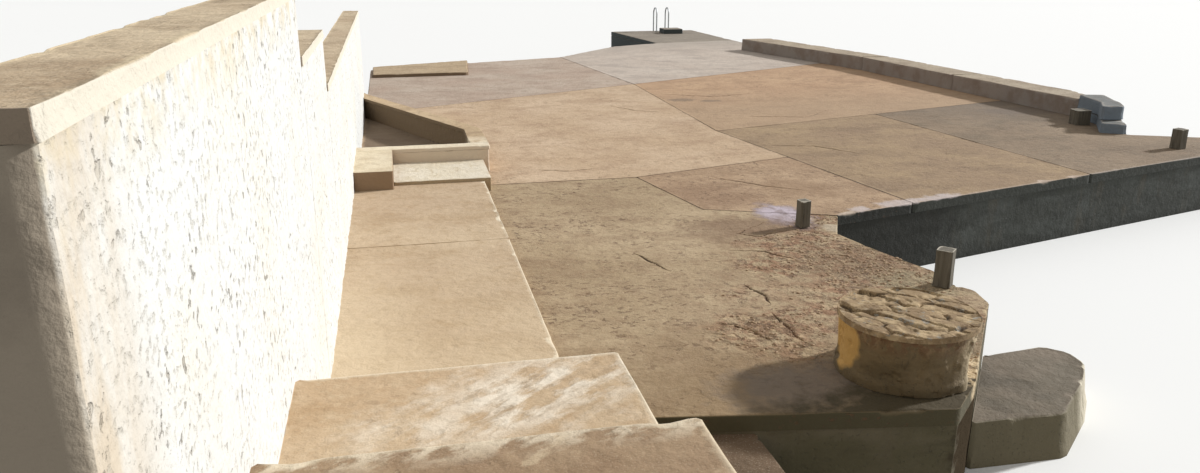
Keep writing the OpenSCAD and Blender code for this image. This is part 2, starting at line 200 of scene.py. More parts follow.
def straightened(loop):
    """The loop without the points that lie on a straight run"""
    to = np.roll(loop, -1, 0) - loop
    length = np.linalg.norm(to, axis=1)
    loop, to = loop[length > SHORTEST_EDGE], to[length > SHORTEST_EDGE]
    to = to / np.linalg.norm(to, axis=1, keepdims=True)
    back = np.roll(to, 1, 0)
    bend = np.abs(back[:, 0] * to[:, 1] - back[:, 1] * to[:, 0])
    return loop[bend > LEAST_BEND]


def tiers(node):
    """(lower outline, upper outline, z0, z1) for each stretch of height with one outline"""
    levels = np.unique(np.round(solids[node][:, :, 2], 4))
    found = []
    for z0, z1 in zip(levels, levels[1:]):
        if z1 - z0 < LEVEL_GAP:
            continue
        low, high = outlines(node, z0 + LEVEL_GAP / 3), outlines(node, z1 - LEVEL_GAP / 3)
        for lower, upper in zip(low, high):
            start = np.argmin(np.linalg.norm(upper - lower[0], axis=1))
            upper = np.roll(upper, -start, 0)
            found.append((lower, upper if len(upper) == len(lower) else lower, z0, z1))
    return found


print("tiers of the flight:", [(round(t[2], 3), round(t[3], 3), len(t[0])) for t in tiers("flight")])

# %% [markdown]
# ## A worn block
# A bevel modifier would round every arris alike. Concrete that has stood outdoors wears
# unevenly: here a shallow round, there a chip. So each block is built as rings. Side rings
# carry dents, three arris rings turn over the edge by a radius that wanders, and the top is
# filled with a loose triangle grid that carries the relief. Four attributes go along for
# the material: `worn` on scuffed arrises, `dark` where dirt collects and where shade is
# painted on faces that look one way, `side`, which is 1 on the upright faces and 0 on the
# top, and `rough`, where the ground is broken up.

# %% Rings and top of a worn block
ARRIS_RINGS = 3
SHARP_TURN = math.radians(25)
MOST_CUT = 0.3
# The top's grid, as shares of its spacing, and how far a crack stays inside the arris in metres
ROW_SPACING, LOOSE_BY, CLEAR_OF_EDGE, CLEAR_OF_CRACK = 0.87, 0.22, 0.6, 0.45
CRACK_MARGIN = 0.03


def outward(loop):
    """Outward direction at each point of a left-turning loop, long enough to keep walls straight"""
    to = np.roll(loop, -1, 0) - loop
    to /= np.maximum(np.linalg.norm(to, axis=1, keepdims=True), 1e-9)
    out = np.stack([to[:, 1], -to[:, 0]], 1)
    both = out + np.roll(out, 1, 0)
    return both / np.maximum((both ** 2).sum(1, keepdims=True) / 2, 0.5)


def cut_corners(lower, upper, size):
    """Both outlines with their sharp outer corners cut by a small flat"""
    cut = ([], [])
    count = len(lower)
    for i in range(count):
        a, b, c = (lower[k % count] for k in (i - 1, i, i + 1))
        bend = math.atan2((b - a)[0] * (c - b)[1] - (b - a)[1] * (c - b)[0], np.dot(b - a, c - b))
        for loop, kept in zip((lower, upper), cut):
            p, q, r = (loop[k % count] for k in (i - 1, i, i + 1))
            if bend < SHARP_TURN:
                kept.append(q)
                continue
            for other in (p, r):
                reach = np.linalg.norm(other - q)
                kept.append(q + (other - q) / reach * min(size, MOST_CUT * reach))
    return np.array(cut[0]), np.array(cut[1])


def spaced(lower, upper, grid):
    """Both outlines with points about `grid` apart"""
    steps = np.linalg.norm(np.roll(lower, -1, 0) - lower, axis=1)
    fine = ([], [])
    for loop, kept in zip((lower, upper), fine):
        ahead = np.roll(loop, -1, 0)
        for i, length in enumerate(steps):
            count = max(1, round(length / grid))
            kept.extend(loop[i] + (ahead[i] - loop[i]) * j / count for j in range(count))
    return np.array(fine[0]), np.array(fine[1])


def inside(points, loop, margin):
    """True for points inside the loop and further than margin from it"""
    odd = np.zeros(len(points), bool)
    near = np.full(len(points), 1e9)
    for p, q in zip(loop, np.roll(loop, -1, 0)):
        if p[1] != q[1]:
            across = (points[:, 1] < p[1]) != (points[:, 1] < q[1])
            odd ^= across & (points[:, 0] < p[0] + (points[:, 1] - p[1]) * (q[0] - p[0]) / (q[1] - p[1]))
        to = q - p
        along = np.clip(((points - p) @ to) / max(to @ to, 1e-12), 0, 1)
        near = np.minimum(near, ((points - p - along[:, None] * to) ** 2).sum(1))
    return odd & (near > margin ** 2)


def grid_points(loop, grid, seed):
    """A loose triangle grid over the loop's box"""
    lo, hi = loop.min(0), loop.max(0)
    row = grid * ROW_SPACING
    ys = np.arange(lo[1], hi[1], row)
    xs = np.arange(lo[0], hi[0], grid)
    points = np.array([(x + (j % 2) * grid / 2, y) for j, y in enumerate(ys) for x in xs])
    if len(points) == 0:
        return np.zeros((0, 2))
    return points + np.random.default_rng(seed).uniform(-LOOSE_BY, LOOSE_BY, points.shape) * grid


def raised(flat, z):
    """Flat points lifted to height z"""
    return np.column_stack([flat, np.broadcast_to(z, len(flat))])


def ring_quads(base, count):
    """The quads between the ring that starts at point `base` and the next ring"""
    return [(base + k, base + (k + 1) % count, base + count + (k + 1) % count, base + count + k)
            for k in range(count)]


def filled_top(ring, look, seed, cracks):
    """Extra top points and the triangles over the ring and them; cracks are rows of points"""
    flat = ring[:, :2]
    grid = look.get("top_grid", look["grid"])
    loose = grid_points(flat, grid, seed)
    loose = loose[inside(loose, flat, grid * CLEAR_OF_EDGE)] if len(loose) else loose
    count = len(flat)
    rows, links, depth = [], [], []
    for crack in cracks:
        for row, drop in zip(crack_rows(crack, seed, look.get("crack", 1)), (CRACK_DEPTH, 0, 0)):
            row = row[inside(row, flat, CRACK_MARGIN)]
            if len(row) < 3:
                continue
            start = sum(len(r) for r in rows)
            rows.append(row)
            links += [(start + k, start + k + 1) for k in range(len(row) - 1)]
            depth += [drop] * len(row)
            apart = np.linalg.norm(loose[:, None] - row[None], axis=2).min(1) if len(loose) else []
            loose = loose[apart > grid * CLEAR_OF_CRACK] if len(loose) else loose
    extra = np.concatenate(rows + [loose]) if rows else loose
    sink = np.array(depth + [0] * len(loose))
    edges = [(count + a, count + b) for a, b in links]
    border = [(k, (k + 1) % count) for k in range(count)]
    flat_all = [Vector(p) for p in flat] + [Vector(p) for p in extra]
    points, _, faces, origin, _, _ = geometry.delaunay_2d_cdt(flat_all, border + edges, [], 1, 1e-6)
    new = np.array([p[:] for p in points])
    source = [o[0] if o else -1 for o in origin]
    return new, faces, source, sink


# %% [markdown]
# ## Cracks as real grooves
# A crack drawn only as a dark line looks painted on. Three rows of points follow its path:
# the middle one is sunk and the outer two stay level, so the light finds a real groove.

# %% Crack paths
CRACK_DEPTH = 0.014
CRACK_HALF_WIDTH = 0.010
CRACK_STEP = 0.03
CRACK_WANDER = 0.045
CRACK_TIP = 0.15


def crack_rows(path, seed, widen=1):
    """The sunk middle row of a crack and its two level edges, wandering a little"""
    path = np.array(path, float)
    pieces = []
    for p, q in zip(path, path[1:]):
        count = max(2, round(np.linalg.norm(q - p) / CRACK_STEP))
        pieces += [p + (q - p) * k / count for k in range(count)]
    line = np.array(pieces + [path[-1]])
    along = np.gradient(line, axis=0)
    along /= np.linalg.norm(along, axis=1, keepdims=True)
    side = np.stack([-along[:, 1], along[:, 0]], 1)
    wander = (bumps(raised(line, 0), 0.09, seed) - 0.5)[:, None] * CRACK_WANDER
    line = line + side * wander
    taper = np.sin(np.linspace(CRACK_TIP, math.pi - CRACK_TIP, len(line)))[:, None]
    half = CRACK_HALF_WIDTH * widen * taper * (0.5 + bumps(raised(line, 0), 0.06, seed + 1))[:, None]
    return line, line + side * half, line - side * half


print("a metre of crack has", len(crack_rows([(0, 0), (1, 0)], 1)[0]), "points in each row")

# %% [markdown]
# ## Sheltered edges
# An edge that meets a neighbour keeps its shape: nothing strikes it. The free edges of the
# quay and the steps take all the wear. So each edge point asks the frame whether another
# solid stands within a few centimetres, and wears only if none does.

# %% Find sheltered edges
SHELTER_REACH = 0.03
owner = [name for name, found in solids.items() for _ in found]
all_solids = search_tree(np.concatenate(list(solids.values())).reshape(-1, 3))


def sheltered(points, node):
    """1 where another solid stands close to a point, 0 where the point is free"""
    close = [any(owner[hit[2]] != node for hit in all_solids.find_nearest_range(Vector(p), SHELTER_REACH))
             for p in points]
    return np.array(close, float)


print("faces in all solids:", len(owner))

# %% [markdown]
# ## The rings of a block
# Side rings rise from the foot to just under the arris and carry the dents. Three more turn
# over the edge by the wear at each point. Every ring also gets its surface marks.

# %% Side rings and arris rings
MARKS = ("worn", "dark", "side", "rough")
# Where chips show in the noise, how far apart wear changes in metres, the most of a block's
# height that it takes, and what is left of dents and scuffs in a sheltered place
NICK_SHOWS = (0.66, 0.86)
WEAR_WANDER = 0.35
MOST_WEAR = 0.6
SHELTERED_SHARE = 0.2
ARRIS_SCUFF, NICK_SCUFF = 0.5, 0.6
BELOW_ARRIS = 0.12


def share(least, free):
    """1 at free points and `least` at sheltered ones"""
    return least + (1 - least) * free


def arris_wear(edge, height, look, seed, free):
    """How far the arris is worn back at each point of the edge, and how much of a chip it has"""
    nick = ease(bumps(edge, look.get("nick_size", 0.11), seed + 3), *NICK_SHOWS)
    wear = look["wear"] * (0.3 + 0.8 * bumps(edge, WEAR_WANDER, seed + 5)) + look["nick"] * nick
    return np.minimum(wear * share(look.get("joint_wear", 0.15), free), height * MOST_WEAR), nick


def block_rings(lower, upper, z0, z1, look, seed, node):
    """The rings of a block from its foot to its top, and the marks of each"""
    out_low, out_high = outward(lower), outward(upper)
    edge = raised(upper, z1)
    top_free = 1 - sheltered(edge, node)
    side_free = 1 - sheltered(raised((lower + upper) / 2, (z0 + z1) / 2), node)
    wear, nick = arris_wear(edge, z1 - z0, look, seed, top_free)
    rows = max(1, round((z1 - z0) / look.get("rise", look["grid"])))
    nothing = np.zeros(len(lower))
    # Dirt, and painted shade on faces that look one way
    stained = look.get("grime", lambda points, out: nothing)
    rings, marks = [], []
    for f in [j / rows for j in range(rows)] + [1 - BELOW_ARRIS / rows, 1]:
        ring = raised(lower + (upper - lower) * f, z0 + (z1 - wear - z0) * f)
        out = out_low + (out_high - out_low) * f
        dent = look["dent"](ring) * min(1, 3 * f) * share(SHELTERED_SHARE, side_free)
        ring[:, :2] -= out * (dent - look.get("swell", 0) * (1 - side_free))[:, None]
        rings.append(ring)
        marks.append((nothing, stained(ring, out), nothing + 1, nothing))
    side_top = rings[-1]
    for j in range(1, ARRIS_RINGS + 1):
        angle = math.pi / 2 * j / ARRIS_RINGS
        ring = side_top.copy()
        ring[:, :2] -= out_high * (wear * (1 - math.cos(angle)))[:, None]
        ring[:, 2] += wear * math.sin(angle)
        ring[:, 2] -= (1 - math.cos(angle)) * look["sink"](ring)
        rings.append(ring)
        scuffed = (ARRIS_SCUFF * math.sin(angle * 1.6) + nick * NICK_SCUFF) * share(SHELTERED_SHARE, top_free)
        dirt = stained(ring, out_high) * math.cos(angle) + look.get("joint_dirt", 0) * (1 - top_free)
        marks.append((scuffed, dirt, nothing + math.cos(angle), look["rough"](ring) * math.sin(angle)))
    return rings, np.concatenate([np.stack(mark, 1) for mark in marks])


print("marks kept on each point:", MARKS)

# %% [markdown]
# ## From rings to a finished piece
# A shell is the rings joined by quads, the filled top, and a plain floor. A node made of
# several tiers gives several shells in one object. Each finished object takes its node's
# place in the frame and gets the material it is given.

# %% Build one worn block
BLOCK_CREASE = math.radians(38)


def worn_shell(tier, look, seed, cracks, node):
    """Points, faces and surface marks of one tier, as a closed shell"""
    lower, upper, z0, z1 = tier
    lower, upper = cut_corners(lower, upper, look["wear"])
    lower, upper = spaced(lower, upper, look["grid"])
    rings, marks = block_rings(lower, upper, z0, z1, look, seed, node)
    count, last = len(lower), (len(rings) - 1) * len(lower)
    points = np.concatenate(rings)
    faces = [tuple(range(count - 1, -1, -1))]
    for r in range(len(rings) - 1):
        faces += ring_quads(r * count, count)
    flat, tris, source, sink = filled_top(rings[-1], look, seed, cracks)
    index = np.zeros(len(flat), int)
    fresh = []
    for k, origin in enumerate(source):
        if 0 <= origin < count:
            index[k] = last + origin
        else:
            index[k] = len(points) + len(fresh)
            fresh.append((*flat[k], sink[origin - count] if origin >= count else 0))
    if fresh:
        x, y, drop = np.array(fresh).T
        top = raised(np.stack((x, y), 1), z1)
        gaps = np.maximum(drop > 0, look["gaps"](top) if "gaps" in look else 0)
        nothing = np.zeros(len(top))
        marks = np.concatenate([marks, np.stack((nothing, gaps, nothing, look["rough"](top)), 1)])
        top[:, 2] -= look["sink"](top) + drop
        points = np.concatenate([points, top])
    faces += [tuple(index[list(face)]) for face in tris if len(set(index[list(face)])) > 2]
    return points, faces, marks


def smooth_shaded(mesh, crease):
    """Smooth shading, but sharp where two faces turn by more than the crease angle"""
    mesh.polygons.foreach_set("use_smooth", [True] * len(mesh.polygons))
    mesh.set_sharp_from_angle(angle=crease)


def mesh_piece(name, shells, material, node):
    """One object from several shells, riding on the root body in place of its node"""
    points = np.concatenate([shell[0] for shell in shells])
    marks = np.concatenate([shell[2] for shell in shells]).astype(np.float32)
    faces, start = [], 0
    for shell in shells:
        faces += [tuple(start + i for i in face) for face in shell[1]]
        start += len(shell[0])
    mesh = bpy.data.meshes.new(name)
    mesh.from_pydata(points.tolist(), [], faces)
    for k, title in enumerate(MARKS):
        carrier = mesh.attributes.new(title, "FLOAT", "POINT")
        carrier.data.foreach_set("value", np.ascontiguousarray(marks[:, k]))
    smooth_shaded(mesh, BLOCK_CREASE)
    mesh.materials.append(material)
    piece = linked(name, mesh)
    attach(piece, "root")
    if node:
        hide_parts(node)
    mesh.calc_loop_triangles()
    print(name, "triangles:", len(mesh.loop_triangles))
    return piece


def worn_block(node, look, material, cracks=(), stack=None):
    """The weathered stand-in for a node that is an upright block or a stack of them"""
    seed = sum(ord(letter) for letter in node) % 97
    shells = [worn_shell(tier, look, seed + k, cracks, node) for k, tier in enumerate(stack or tiers(node))]
    return mesh_piece(node + "_worn", shells, material, node)


# %% [markdown]
# ## Materials in layers
# Every finish here is one base tone with layers over it: sun-bleached patches, stains, sand
# grains, and the places where the skin is gone. A mask says where a layer shows. It is kept
# as a recipe: a material builds it when a layer first asks for it, and shares it after that.
# All patterns read Object coordinates, so they stay put whatever the view.

# %% Node helpers
masks_built = {}


def linear(code):
    """A hex colour as it looks on screen, turned to the linear numbers that shaders use"""
    parts = [int(code[k:k + 2], 16) / 255 for k in (1, 3, 5)]
    return tuple(p / 12.92 if p <= 0.04045 else ((p + 0.055) / 1.055) ** 2.4 for p in parts) + (1.0,)


def add(tree, kind, inputs=None, **settings):
    """Adds a node with its settings, and links or sets its inputs, building a mask on first use"""
    node = tree.nodes.new(kind)
    for key, value in settings.items():
        setattr(node, key, value)
    for key, value in (inputs or {}).items():
        if callable(value):
            if (tree, value) not in masks_built:
                masks_built[tree, value] = value(tree)
            value = masks_built[tree, value]
        if isinstance(value, bpy.types.NodeSocket):
            tree.links.new(value, node.inputs[key])
        else:
            node.inputs[key].default_value = value
    return node


def surface(name, tone, roughness, metallic=0.0):
    """A new material with one tone, ready for layers"""
    material = bpy.data.materials.new(name)
    material.use_nodes = True
    shader = material.node_tree.nodes["Principled BSDF"]
    shader.inputs["Base Color"].default_value = linear(tone)
    shader.inputs["Roughness"].default_value = roughness
    shader.inputs["Metallic"].default_value = metallic
    material.diffuse_color = linear(tone)
    add(material.node_tree, "ShaderNodeTexCoord", name="Place")
    return material


def layer(material, mask, tone):
    """Lays a tone over the material's colour where the mask shows"""
    tree = material.node_tree
    colour = tree.nodes["Principled BSDF"].inputs["Base Color"]
    under = colour.links[0].from_socket if colour.is_linked else tuple(colour.default_value)
    mixed = add(tree, "ShaderNodeMix", {0: mask, 6: under, 7: linear(tone)}, data_type="RGBA")
    tree.links.new(mixed.outputs[2], colour)


def relief(material, mask, depth_mm):
    """Raises the surface where the mask shows, or sinks it for a negative depth"""
    tree = material.node_tree
    normal = tree.nodes["Principled BSDF"].inputs["Normal"]
    inputs = {"Height": mask, "Distance": abs(depth_mm) / 1000, "Strength": 1.0}
    if normal.is_linked:
        inputs["Normal"] = normal.links[0].from_socket
    bump = add(tree, "ShaderNodeBump", inputs, invert=depth_mm < 0)
    tree.links.new(bump.outputs[0], normal)


def dress(material, *coats):
    """Lays coats on in turn, each a mask with a tone or a depth in mm; a coat of None is left off"""
    for mask, coat in coats:
        if isinstance(coat, str):
            layer(material, mask, coat)
        elif coat is not None:
            relief(material, mask, coat)
    return material


# %% [markdown]
# ## Masks
# Four masks cover all the marks. Patches come from smooth noise cut off between two levels:
# close levels give a crisp edge, wide ones a soft stain. A spot is one ragged place on the
# object. A band fades along one axis, like a tide mark. A carried mask reads what the mesh
# knows. Patches are sized in millimetres of the real surface, places in metres, and marks
# can be turned and made longer one way.

# %% Masks in millimetres and metres
def patches(size_mm, low, high, detail=5.0, seed=0, longer=(1, 1, 1), turn_deg=0.0, amount=1.0):
    """Irregular patches about size_mm across"""
    def mask(tree):
        moved = add(tree, "ShaderNodeMapping", {
            "Vector": tree.nodes["Place"].outputs["Object"],
            "Location": (seed * 3.7, seed * 1.9, seed * 0.7),
            "Rotation": (0, 0, math.radians(turn_deg)), "Scale": longer}, vector_type="TEXTURE")
        noise = add(tree, "ShaderNodeTexNoise", {
            "Vector": moved.outputs[0], "Scale": 1000 / size_mm, "Detail": detail, "Roughness": 0.6})
        cut = add(tree, "ShaderNodeMapRange", {
            "Value": noise.outputs[0], "From Min": low, "From Max": high, "To Max": amount})
        return cut.outputs[0]
    return mask


TORN_RIM = {"size_mm": 160, "low": 0.3, "high": 0.7, "seed": 9}


def spot(centre, radii, ragged=0.35, soft=0.35, amount=1.0, turn_deg=0.0):
    """One ragged round place, its centre and radii in metres"""
    rim = 1 + ragged / 2

    def mask(tree):
        near = add(tree, "ShaderNodeMapping", {
            "Vector": tree.nodes["Place"].outputs["Object"], "Location": centre,
            "Rotation": (0, 0, math.radians(turn_deg)), "Scale": radii}, vector_type="TEXTURE")
        reach = add(tree, "ShaderNodeVectorMath", {0: near.outputs[0]}, operation="LENGTH")
        torn = add(tree, "ShaderNodeMath", {
            0: patches(amount=ragged, **TORN_RIM), 1: reach.outputs["Value"]}, operation="ADD")
        cut = add(tree, "ShaderNodeMapRange", {
            "Value": torn.outputs[0], "From Min": rim, "From Max": rim - soft, "To Max": amount})
        return cut.outputs[0]
    return mask


def band(axis, start, full, amount=1.0):
    """A mask that grows from nothing at start to full along one axis, both in metres"""
    def mask(tree):
        split = add(tree, "ShaderNodeSeparateXYZ", {"Vector": tree.nodes["Place"].outputs["Object"]})
        cut = add(tree, "ShaderNodeMapRange", {
            "Value": split.outputs[axis], "From Min": start, "From Max": full, "To Max": amount})
        return cut.outputs[0]
    return mask


def carried(title, low=0.0, high=1.0, amount=1.0):
    """A mask from a mark that the mesh carries"""
    def mask(tree):
        read = add(tree, "ShaderNodeAttribute", attribute_name=title)
        cut = add(tree, "ShaderNodeMapRange", {
            "Value": read.outputs["Fac"], "From Min": low, "From Max": high, "To Max": amount})
        return cut.outputs[0]
    return mask


def overlap(first, second):
    """Where two masks both show"""
    return lambda tree: add(tree, "ShaderNodeMath", {0: first, 1: second}, operation="MULTIPLY").outputs[0]


print("node and mask helpers ready")

# %% [markdown]
# ## Concrete of many ages
# The deck is weathered cast concrete: a floated sandy skin over coarse gravel. Dry, it is
# quite matt. Each pour has its own tone, but the make-up is the same, so one recipe takes
# the tones: bleached areas a pace or two wide, hand-sized stains, crisp dark spots, sand
# grains, and pits. Sand is really 1 to 2 mm; grains of 9 mm are drawn so that they still
# show in the render.

# %% Cast concrete
def concrete(name, skin, pale, stain, side=None, edge=None, spots=0.5, grain=0.3):
    """Cast concrete in its own tones: skin, bleached, stained, upright faces and worn edges"""
    dark_spots = overlap(patches(90, 0.58, 0.64, 8, 8, amount=spots), patches(900, 0.45, 0.6, seed=10))
    grit = patches(9, 0.52, 0.70, 2, 4, amount=grain)
    return dress(surface(name, skin, 0.92),
                 (patches(1500, 0.40, 0.62, 8, 1, amount=0.85), pale),
                 (patches(600, 0.48, 0.66, 11, 2, (1.4, 1, 1), amount=0.6), stain),
                 (patches(150, 0.50, 0.72, 9, 3, amount=0.6), stain),
                 (patches(50, 0.52, 0.72, 6, 7, amount=0.5), pale),
                 (dark_spots, "#6A523B"),
                 (carried("worn", 0.1, 0.5, amount=0.85), edge),
                 (grit, "#5E4B36"),
                 (patches(11, 0.57, 0.72, 2, 5, amount=grain), "#E0D2B8"),
                 (carried("side", 0.55, 0.95), side),
                 (carried("dark", 0.1, 0.8), "#38291A"),
                 (patches(75, 0.3, 0.8, 9, 6), 7), (dark_spots, -4), (grit, -2))


def broken_up(material, deep, bright, fleck, amount):
    """Hollows, pits and pale chips where the mesh says it is rough, and small flecks anywhere; the pits are
    painted dark partly as painted shade and the chips pale partly as painted highlight
    """
    rough_here = carried("rough", 0.12, 0.5)
    pits = overlap(rough_here, patches(80, 0.55, 0.60, 7, 22, amount=0.75))
    flecks = overlap(patches(46, 0.585, 0.625, 5, 31, (1.5, 1, 1), amount=amount),
                     patches(520, 0.40, 0.56, seed=32))
    dress(material,
          (overlap(rough_here, patches(150, 0.44, 0.56, 9, 21, amount=0.7)), deep),
          (pits, "#5C4028"),
          (overlap(rough_here, patches(70, 0.56, 0.62, 7, 23, amount=0.65)), bright),
          (overlap(rough_here, patches(110, 0.35, 0.7, 5, 24)), 16),
          (pits, -6), (flecks, fleck), (flecks, -5))


deck_near = concrete("weathered deck concrete by the drum", "#A38D6D", "#B7A181", "#83694D",
                     "#4F4831", "#BDA883", 0.8)
deck_sandy = concrete("sandy deck concrete", "#BCA182", "#CCB396", "#9E8064", "#7C6B55", None, 0.4)
deck_dusty = concrete("dusty far concrete", "#B09A88", "#BDAD9C", "#947F6E", "#7C6B55", None, 0.3)
deck_middle = concrete("grey brown deck concrete", "#A5886A", "#B99D7E", "#806448",
                       "#2C2D28", "#C4B3A2", 0.8)
deck_wing = concrete("tan wing concrete", "#91785C", "#A38A68", "#745D45", "#3F413B", "#C2AF9E")
deck_tip = concrete("grey tip concrete", "#7D6952", "#8E7A62", "#60513D", "#3F413B", "#B3A69B", 0.7)
deck_centre = concrete("warm centre concrete", "#AF8D6D", "#BE9D7B", "#907153", "#5B5346", None, 0.6)
deck_pale = concrete("pale far concrete", "#BBAC9E", "#C8BBAD", "#9C8F85", "#6F6860", None, 0.3)
deck_head = concrete("grey head concrete", "#83796C", "#908677", "#6F655B", "#3E4443")
walk_concrete = concrete("cream walkway concrete", "#B69E82", "#C7B193", "#A28765",
                         "#9F8767", "#E6DAC2", 0.2, 0.15)
cream_concrete = concrete("cream landing concrete", "#BCA180", "#C8B395", "#A88963",
                          "#A08A69", "#E6DAC2", 0.25, 0.12)
brown_concrete = concrete("brown landing concrete", "#977E62", "#A78E6F", "#81664B",
                          "#96805F", "#D8C9AE", 0.4, 0.15)
low_concrete = concrete("shaded landing concrete", "#67523D", "#735E48", "#53412C", "#4A4030")
kerb_concrete = concrete("tan kerb concrete", "#B39C7C", "#C0AA8A", "#927B5E", "#7A6650")
lime_step = concrete("limewashed flat step", "#DCD1BC", "#EAE2D2", "#C9BA9C", "#A99577", None, 0.1)
broken_up(deck_near, "#865D41", "#CAB08B", "#6A4E35", 0.65)
broken_up(deck_middle, "#7F5F45", "#C2AC8B", "#6A4E3A", 0.5)
print("concrete pours:", len([m for m in bpy.data.materials if "concrete" in m.name]))

# %% [markdown]
# ## Marks in their places
# A few marks belong to one place. Pale mortar was smeared slantwise over the cream landing,
# and lies in a fringe along the far edge of the brown one. A damp mauve patch lies beside the
# slim post, the wing's edge is worn to whitish patches, and shade is painted round the drum.
# All places are in metres, read off the picture with the camera above.

# %% Marks on the landings, walkway and far slabs
LANDING_TOP_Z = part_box("lower_landing")[1].z
LANDING_FAR_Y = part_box("upper_landing")[1].y
FRINGE_WIDTH = (0.15, 0.02)
PALE_WALK_Y, BRIGHT_WALK_Y, BRIGHT_WALK_X = (-8.0, -10.6), (-8.5, -10.2), (-5.8, -6.5)
GREY_FAR_Y = (8.0, 11.0)
SMEAR_TURN = 38
smeared = spot((-5.5, -13.08, LANDING_TOP_Z), (0.95, 0.42, 0.6), 0.5, 0.7, turn_deg=24)
smear = overlap(smeared, patches(130, 0.42, 0.54, 11, 14, (2.6, 1, 1), SMEAR_TURN, 0.75))
smear_shade = overlap(smeared, patches(80, 0.54, 0.64, 9, 15, (3, 1, 1), SMEAR_TURN, 0.65))
dress(cream_concrete, (smear, "#EBE1D0"), (smear_shade, "#A08A6F"), (smear, 5))
fringe = overlap(band("Y", *(LANDING_FAR_Y - width for width in FRINGE_WIDTH)),
                 patches(90, 0.44, 0.55, 11, 16, (2, 1, 1), 30, 0.8))
scrapes = patches(120, 0.58, 0.66, 11, 17, (2, 1, 1), 40, 0.5)
dress(brown_concrete, (fringe, "#DCCDB4"), (fringe, 4), (scrapes, "#CDB99A"))
dress(walk_concrete,
      (band("Y", *PALE_WALK_Y, 0.3), "#CEB794"),
      (overlap(band("Y", *BRIGHT_WALK_Y), band("X", *BRIGHT_WALK_X, 0.4)), "#DDCAAB"))
dress(deck_pale, (band("Y", *GREY_FAR_Y, 0.6), "#A0968A"))
dress(lime_step, (patches(60, 0.55, 0.66, 5, 15, (1, 7, 1), amount=0.5), "#B9A684"))
print("smear and fringe laid up to y =", round(LANDING_FAR_Y, 2))

# %% Marks on the deck
DAMP_AT = (-1.94, -7.66, 0.8)
damp_rim = spot(DAMP_AT, (0.33, 0.56, 0.3), 0.5, amount=0.9)
damp_heart = overlap(spot(DAMP_AT, (0.28, 0.46, 0.3)), patches(140, 0.38, 0.5, seed=17, amount=0.9))
for slab in (deck_near, deck_middle):
    dress(slab, (damp_rim, "#94878C"), (damp_heart, "#BFB2BA"))

WHITISH_EDGE = [((-0.42, -7.44, 0.81), (0.42, 0.16, 0.04)), ((0.2, -7.32, 0.81), (0.36, 0.14, 0.04)),
                ((-1.0, -7.60, 0.81), (0.16, 0.14, 0.04))]
for slab in (deck_wing, deck_middle):
    dress(slab, *((spot(place, radii, 0.7, amount=0.75, turn_deg=12), "#C4B8B4")
                  for place, radii in WHITISH_EDGE))

# Each row: slab, centre, radii, how ragged, how soft, amount, tone
SLAB_MARKS = [
    (deck_centre, (-0.65, 0.27, 0.8), (0.32, 0.2, 0.3), 0.7, 0.35, 0.75, "#6A5845"),
    (deck_centre, (-0.15, 0.05, 0.8), (0.26, 0.14, 0.3), 0.7, 0.35, 0.75, "#6A5845"),
    (deck_tip, (5.3, -1.2, 0.8), (3.3, 3.2, 0.02), 0.35, 0.9, 0.75, "#6C6053"),
    (deck_tip, (4.9, -2.2, 0.8), (0.9, 0.5, 0.02), 0.35, 0.35, 0.6, "#6B5D50"),
    (deck_middle, (-2.5, -6.7, 0.8), (0.9, 0.8, 1), 0.5, 0.6, 0.5, "#86694F"),
    (deck_middle, (-1.3, -6.6, 0.8), (0.6, 0.7, 1), 0.5, 0.6, 0.5, "#86694C")]
for slab, place, radii, ragged, soft, amount, tone in SLAB_MARKS:
    layer(slab, spot(place, radii, ragged, soft, amount), tone)

# On the slab by the drum only the top is marked. Each row: centre, radii, how soft, amount, tone
# The second row paints the drum's cast shadow darker and bluer, as painted shadow; the third paints shade on
# the strip in front of the drum.
NEAR_MARKS = [
    ((-3.9, -11.6, 0.8), (1.9, 1.5, 1), 0.9, 0.75, "#836B4B"),
    ((-3.4, -11.55, 0.8), (0.75, 0.42, 1), 0.5, 0.6, "#6C635C"),
    ((-2.6, -12.1, 0.8), (1.5, 0.62, 0.4), 0.4, 1.0, "#42371F"),
    ((-1.95, -11.0, 0.8), (0.42, 0.75, 0.6), 0.2, 0.8, "#86755A"),
    ((-2.45, -8.0, 0.8), (0.95, 0.5, 1), 0.6, 0.7, "#755A42"),
    ((-1.85, -9.3, 0.8), (0.8, 0.8, 1), 0.6, 0.55, "#776045"),
    ((-1.62, -8.2, 0.8), (0.13, 0.15, 1), 0.3, 0.6, "#BCAE97"),
    ((-1.6, -9.9, 0.8), (0.5, 0.45, 1), 0.5, 0.5, "#9C9070")]
on_top = carried("side", 0.95, 0.6)
dress(deck_near, *((overlap(on_top, spot(place, radii, 0.5, soft, amount)), tone)
                   for place, radii, soft, amount, tone in NEAR_MARKS))
# Its cut edge beside the drum is broken and pale, and it is painted paler still as a painted highlight of the
# sun along it
CUT_EDGE = (-2.15, -11.6, 0.74)
broken_edge_highlight = overlap(spot(CUT_EDGE, (0.32, 0.42, 0.10), soft=0.3), patches(60, 0.42, 0.50, 8, 33, (1, 1, 2)))
dress(deck_near, (broken_edge_highlight, "#C6B18E"))
# Neighbouring pours blend across their joint
BLEND_Y = (1.5, -1.0)
dress(deck_centre, (band("Y", *BLEND_Y, 0.5), "#A08A6F"))
print("damp patch at", DAMP_AT)

# %% [markdown]
# ## Damp mass concrete
# The quay's body was poured in lifts against boards. It is dark from damp, with a wetter
# band at the foot and rusty runs. Its stains are stretched: wide and low along the lifts,
# tall and narrow down the face.

# %% Mass concrete
WET_FOOT_Z = (0.2, 0.02)


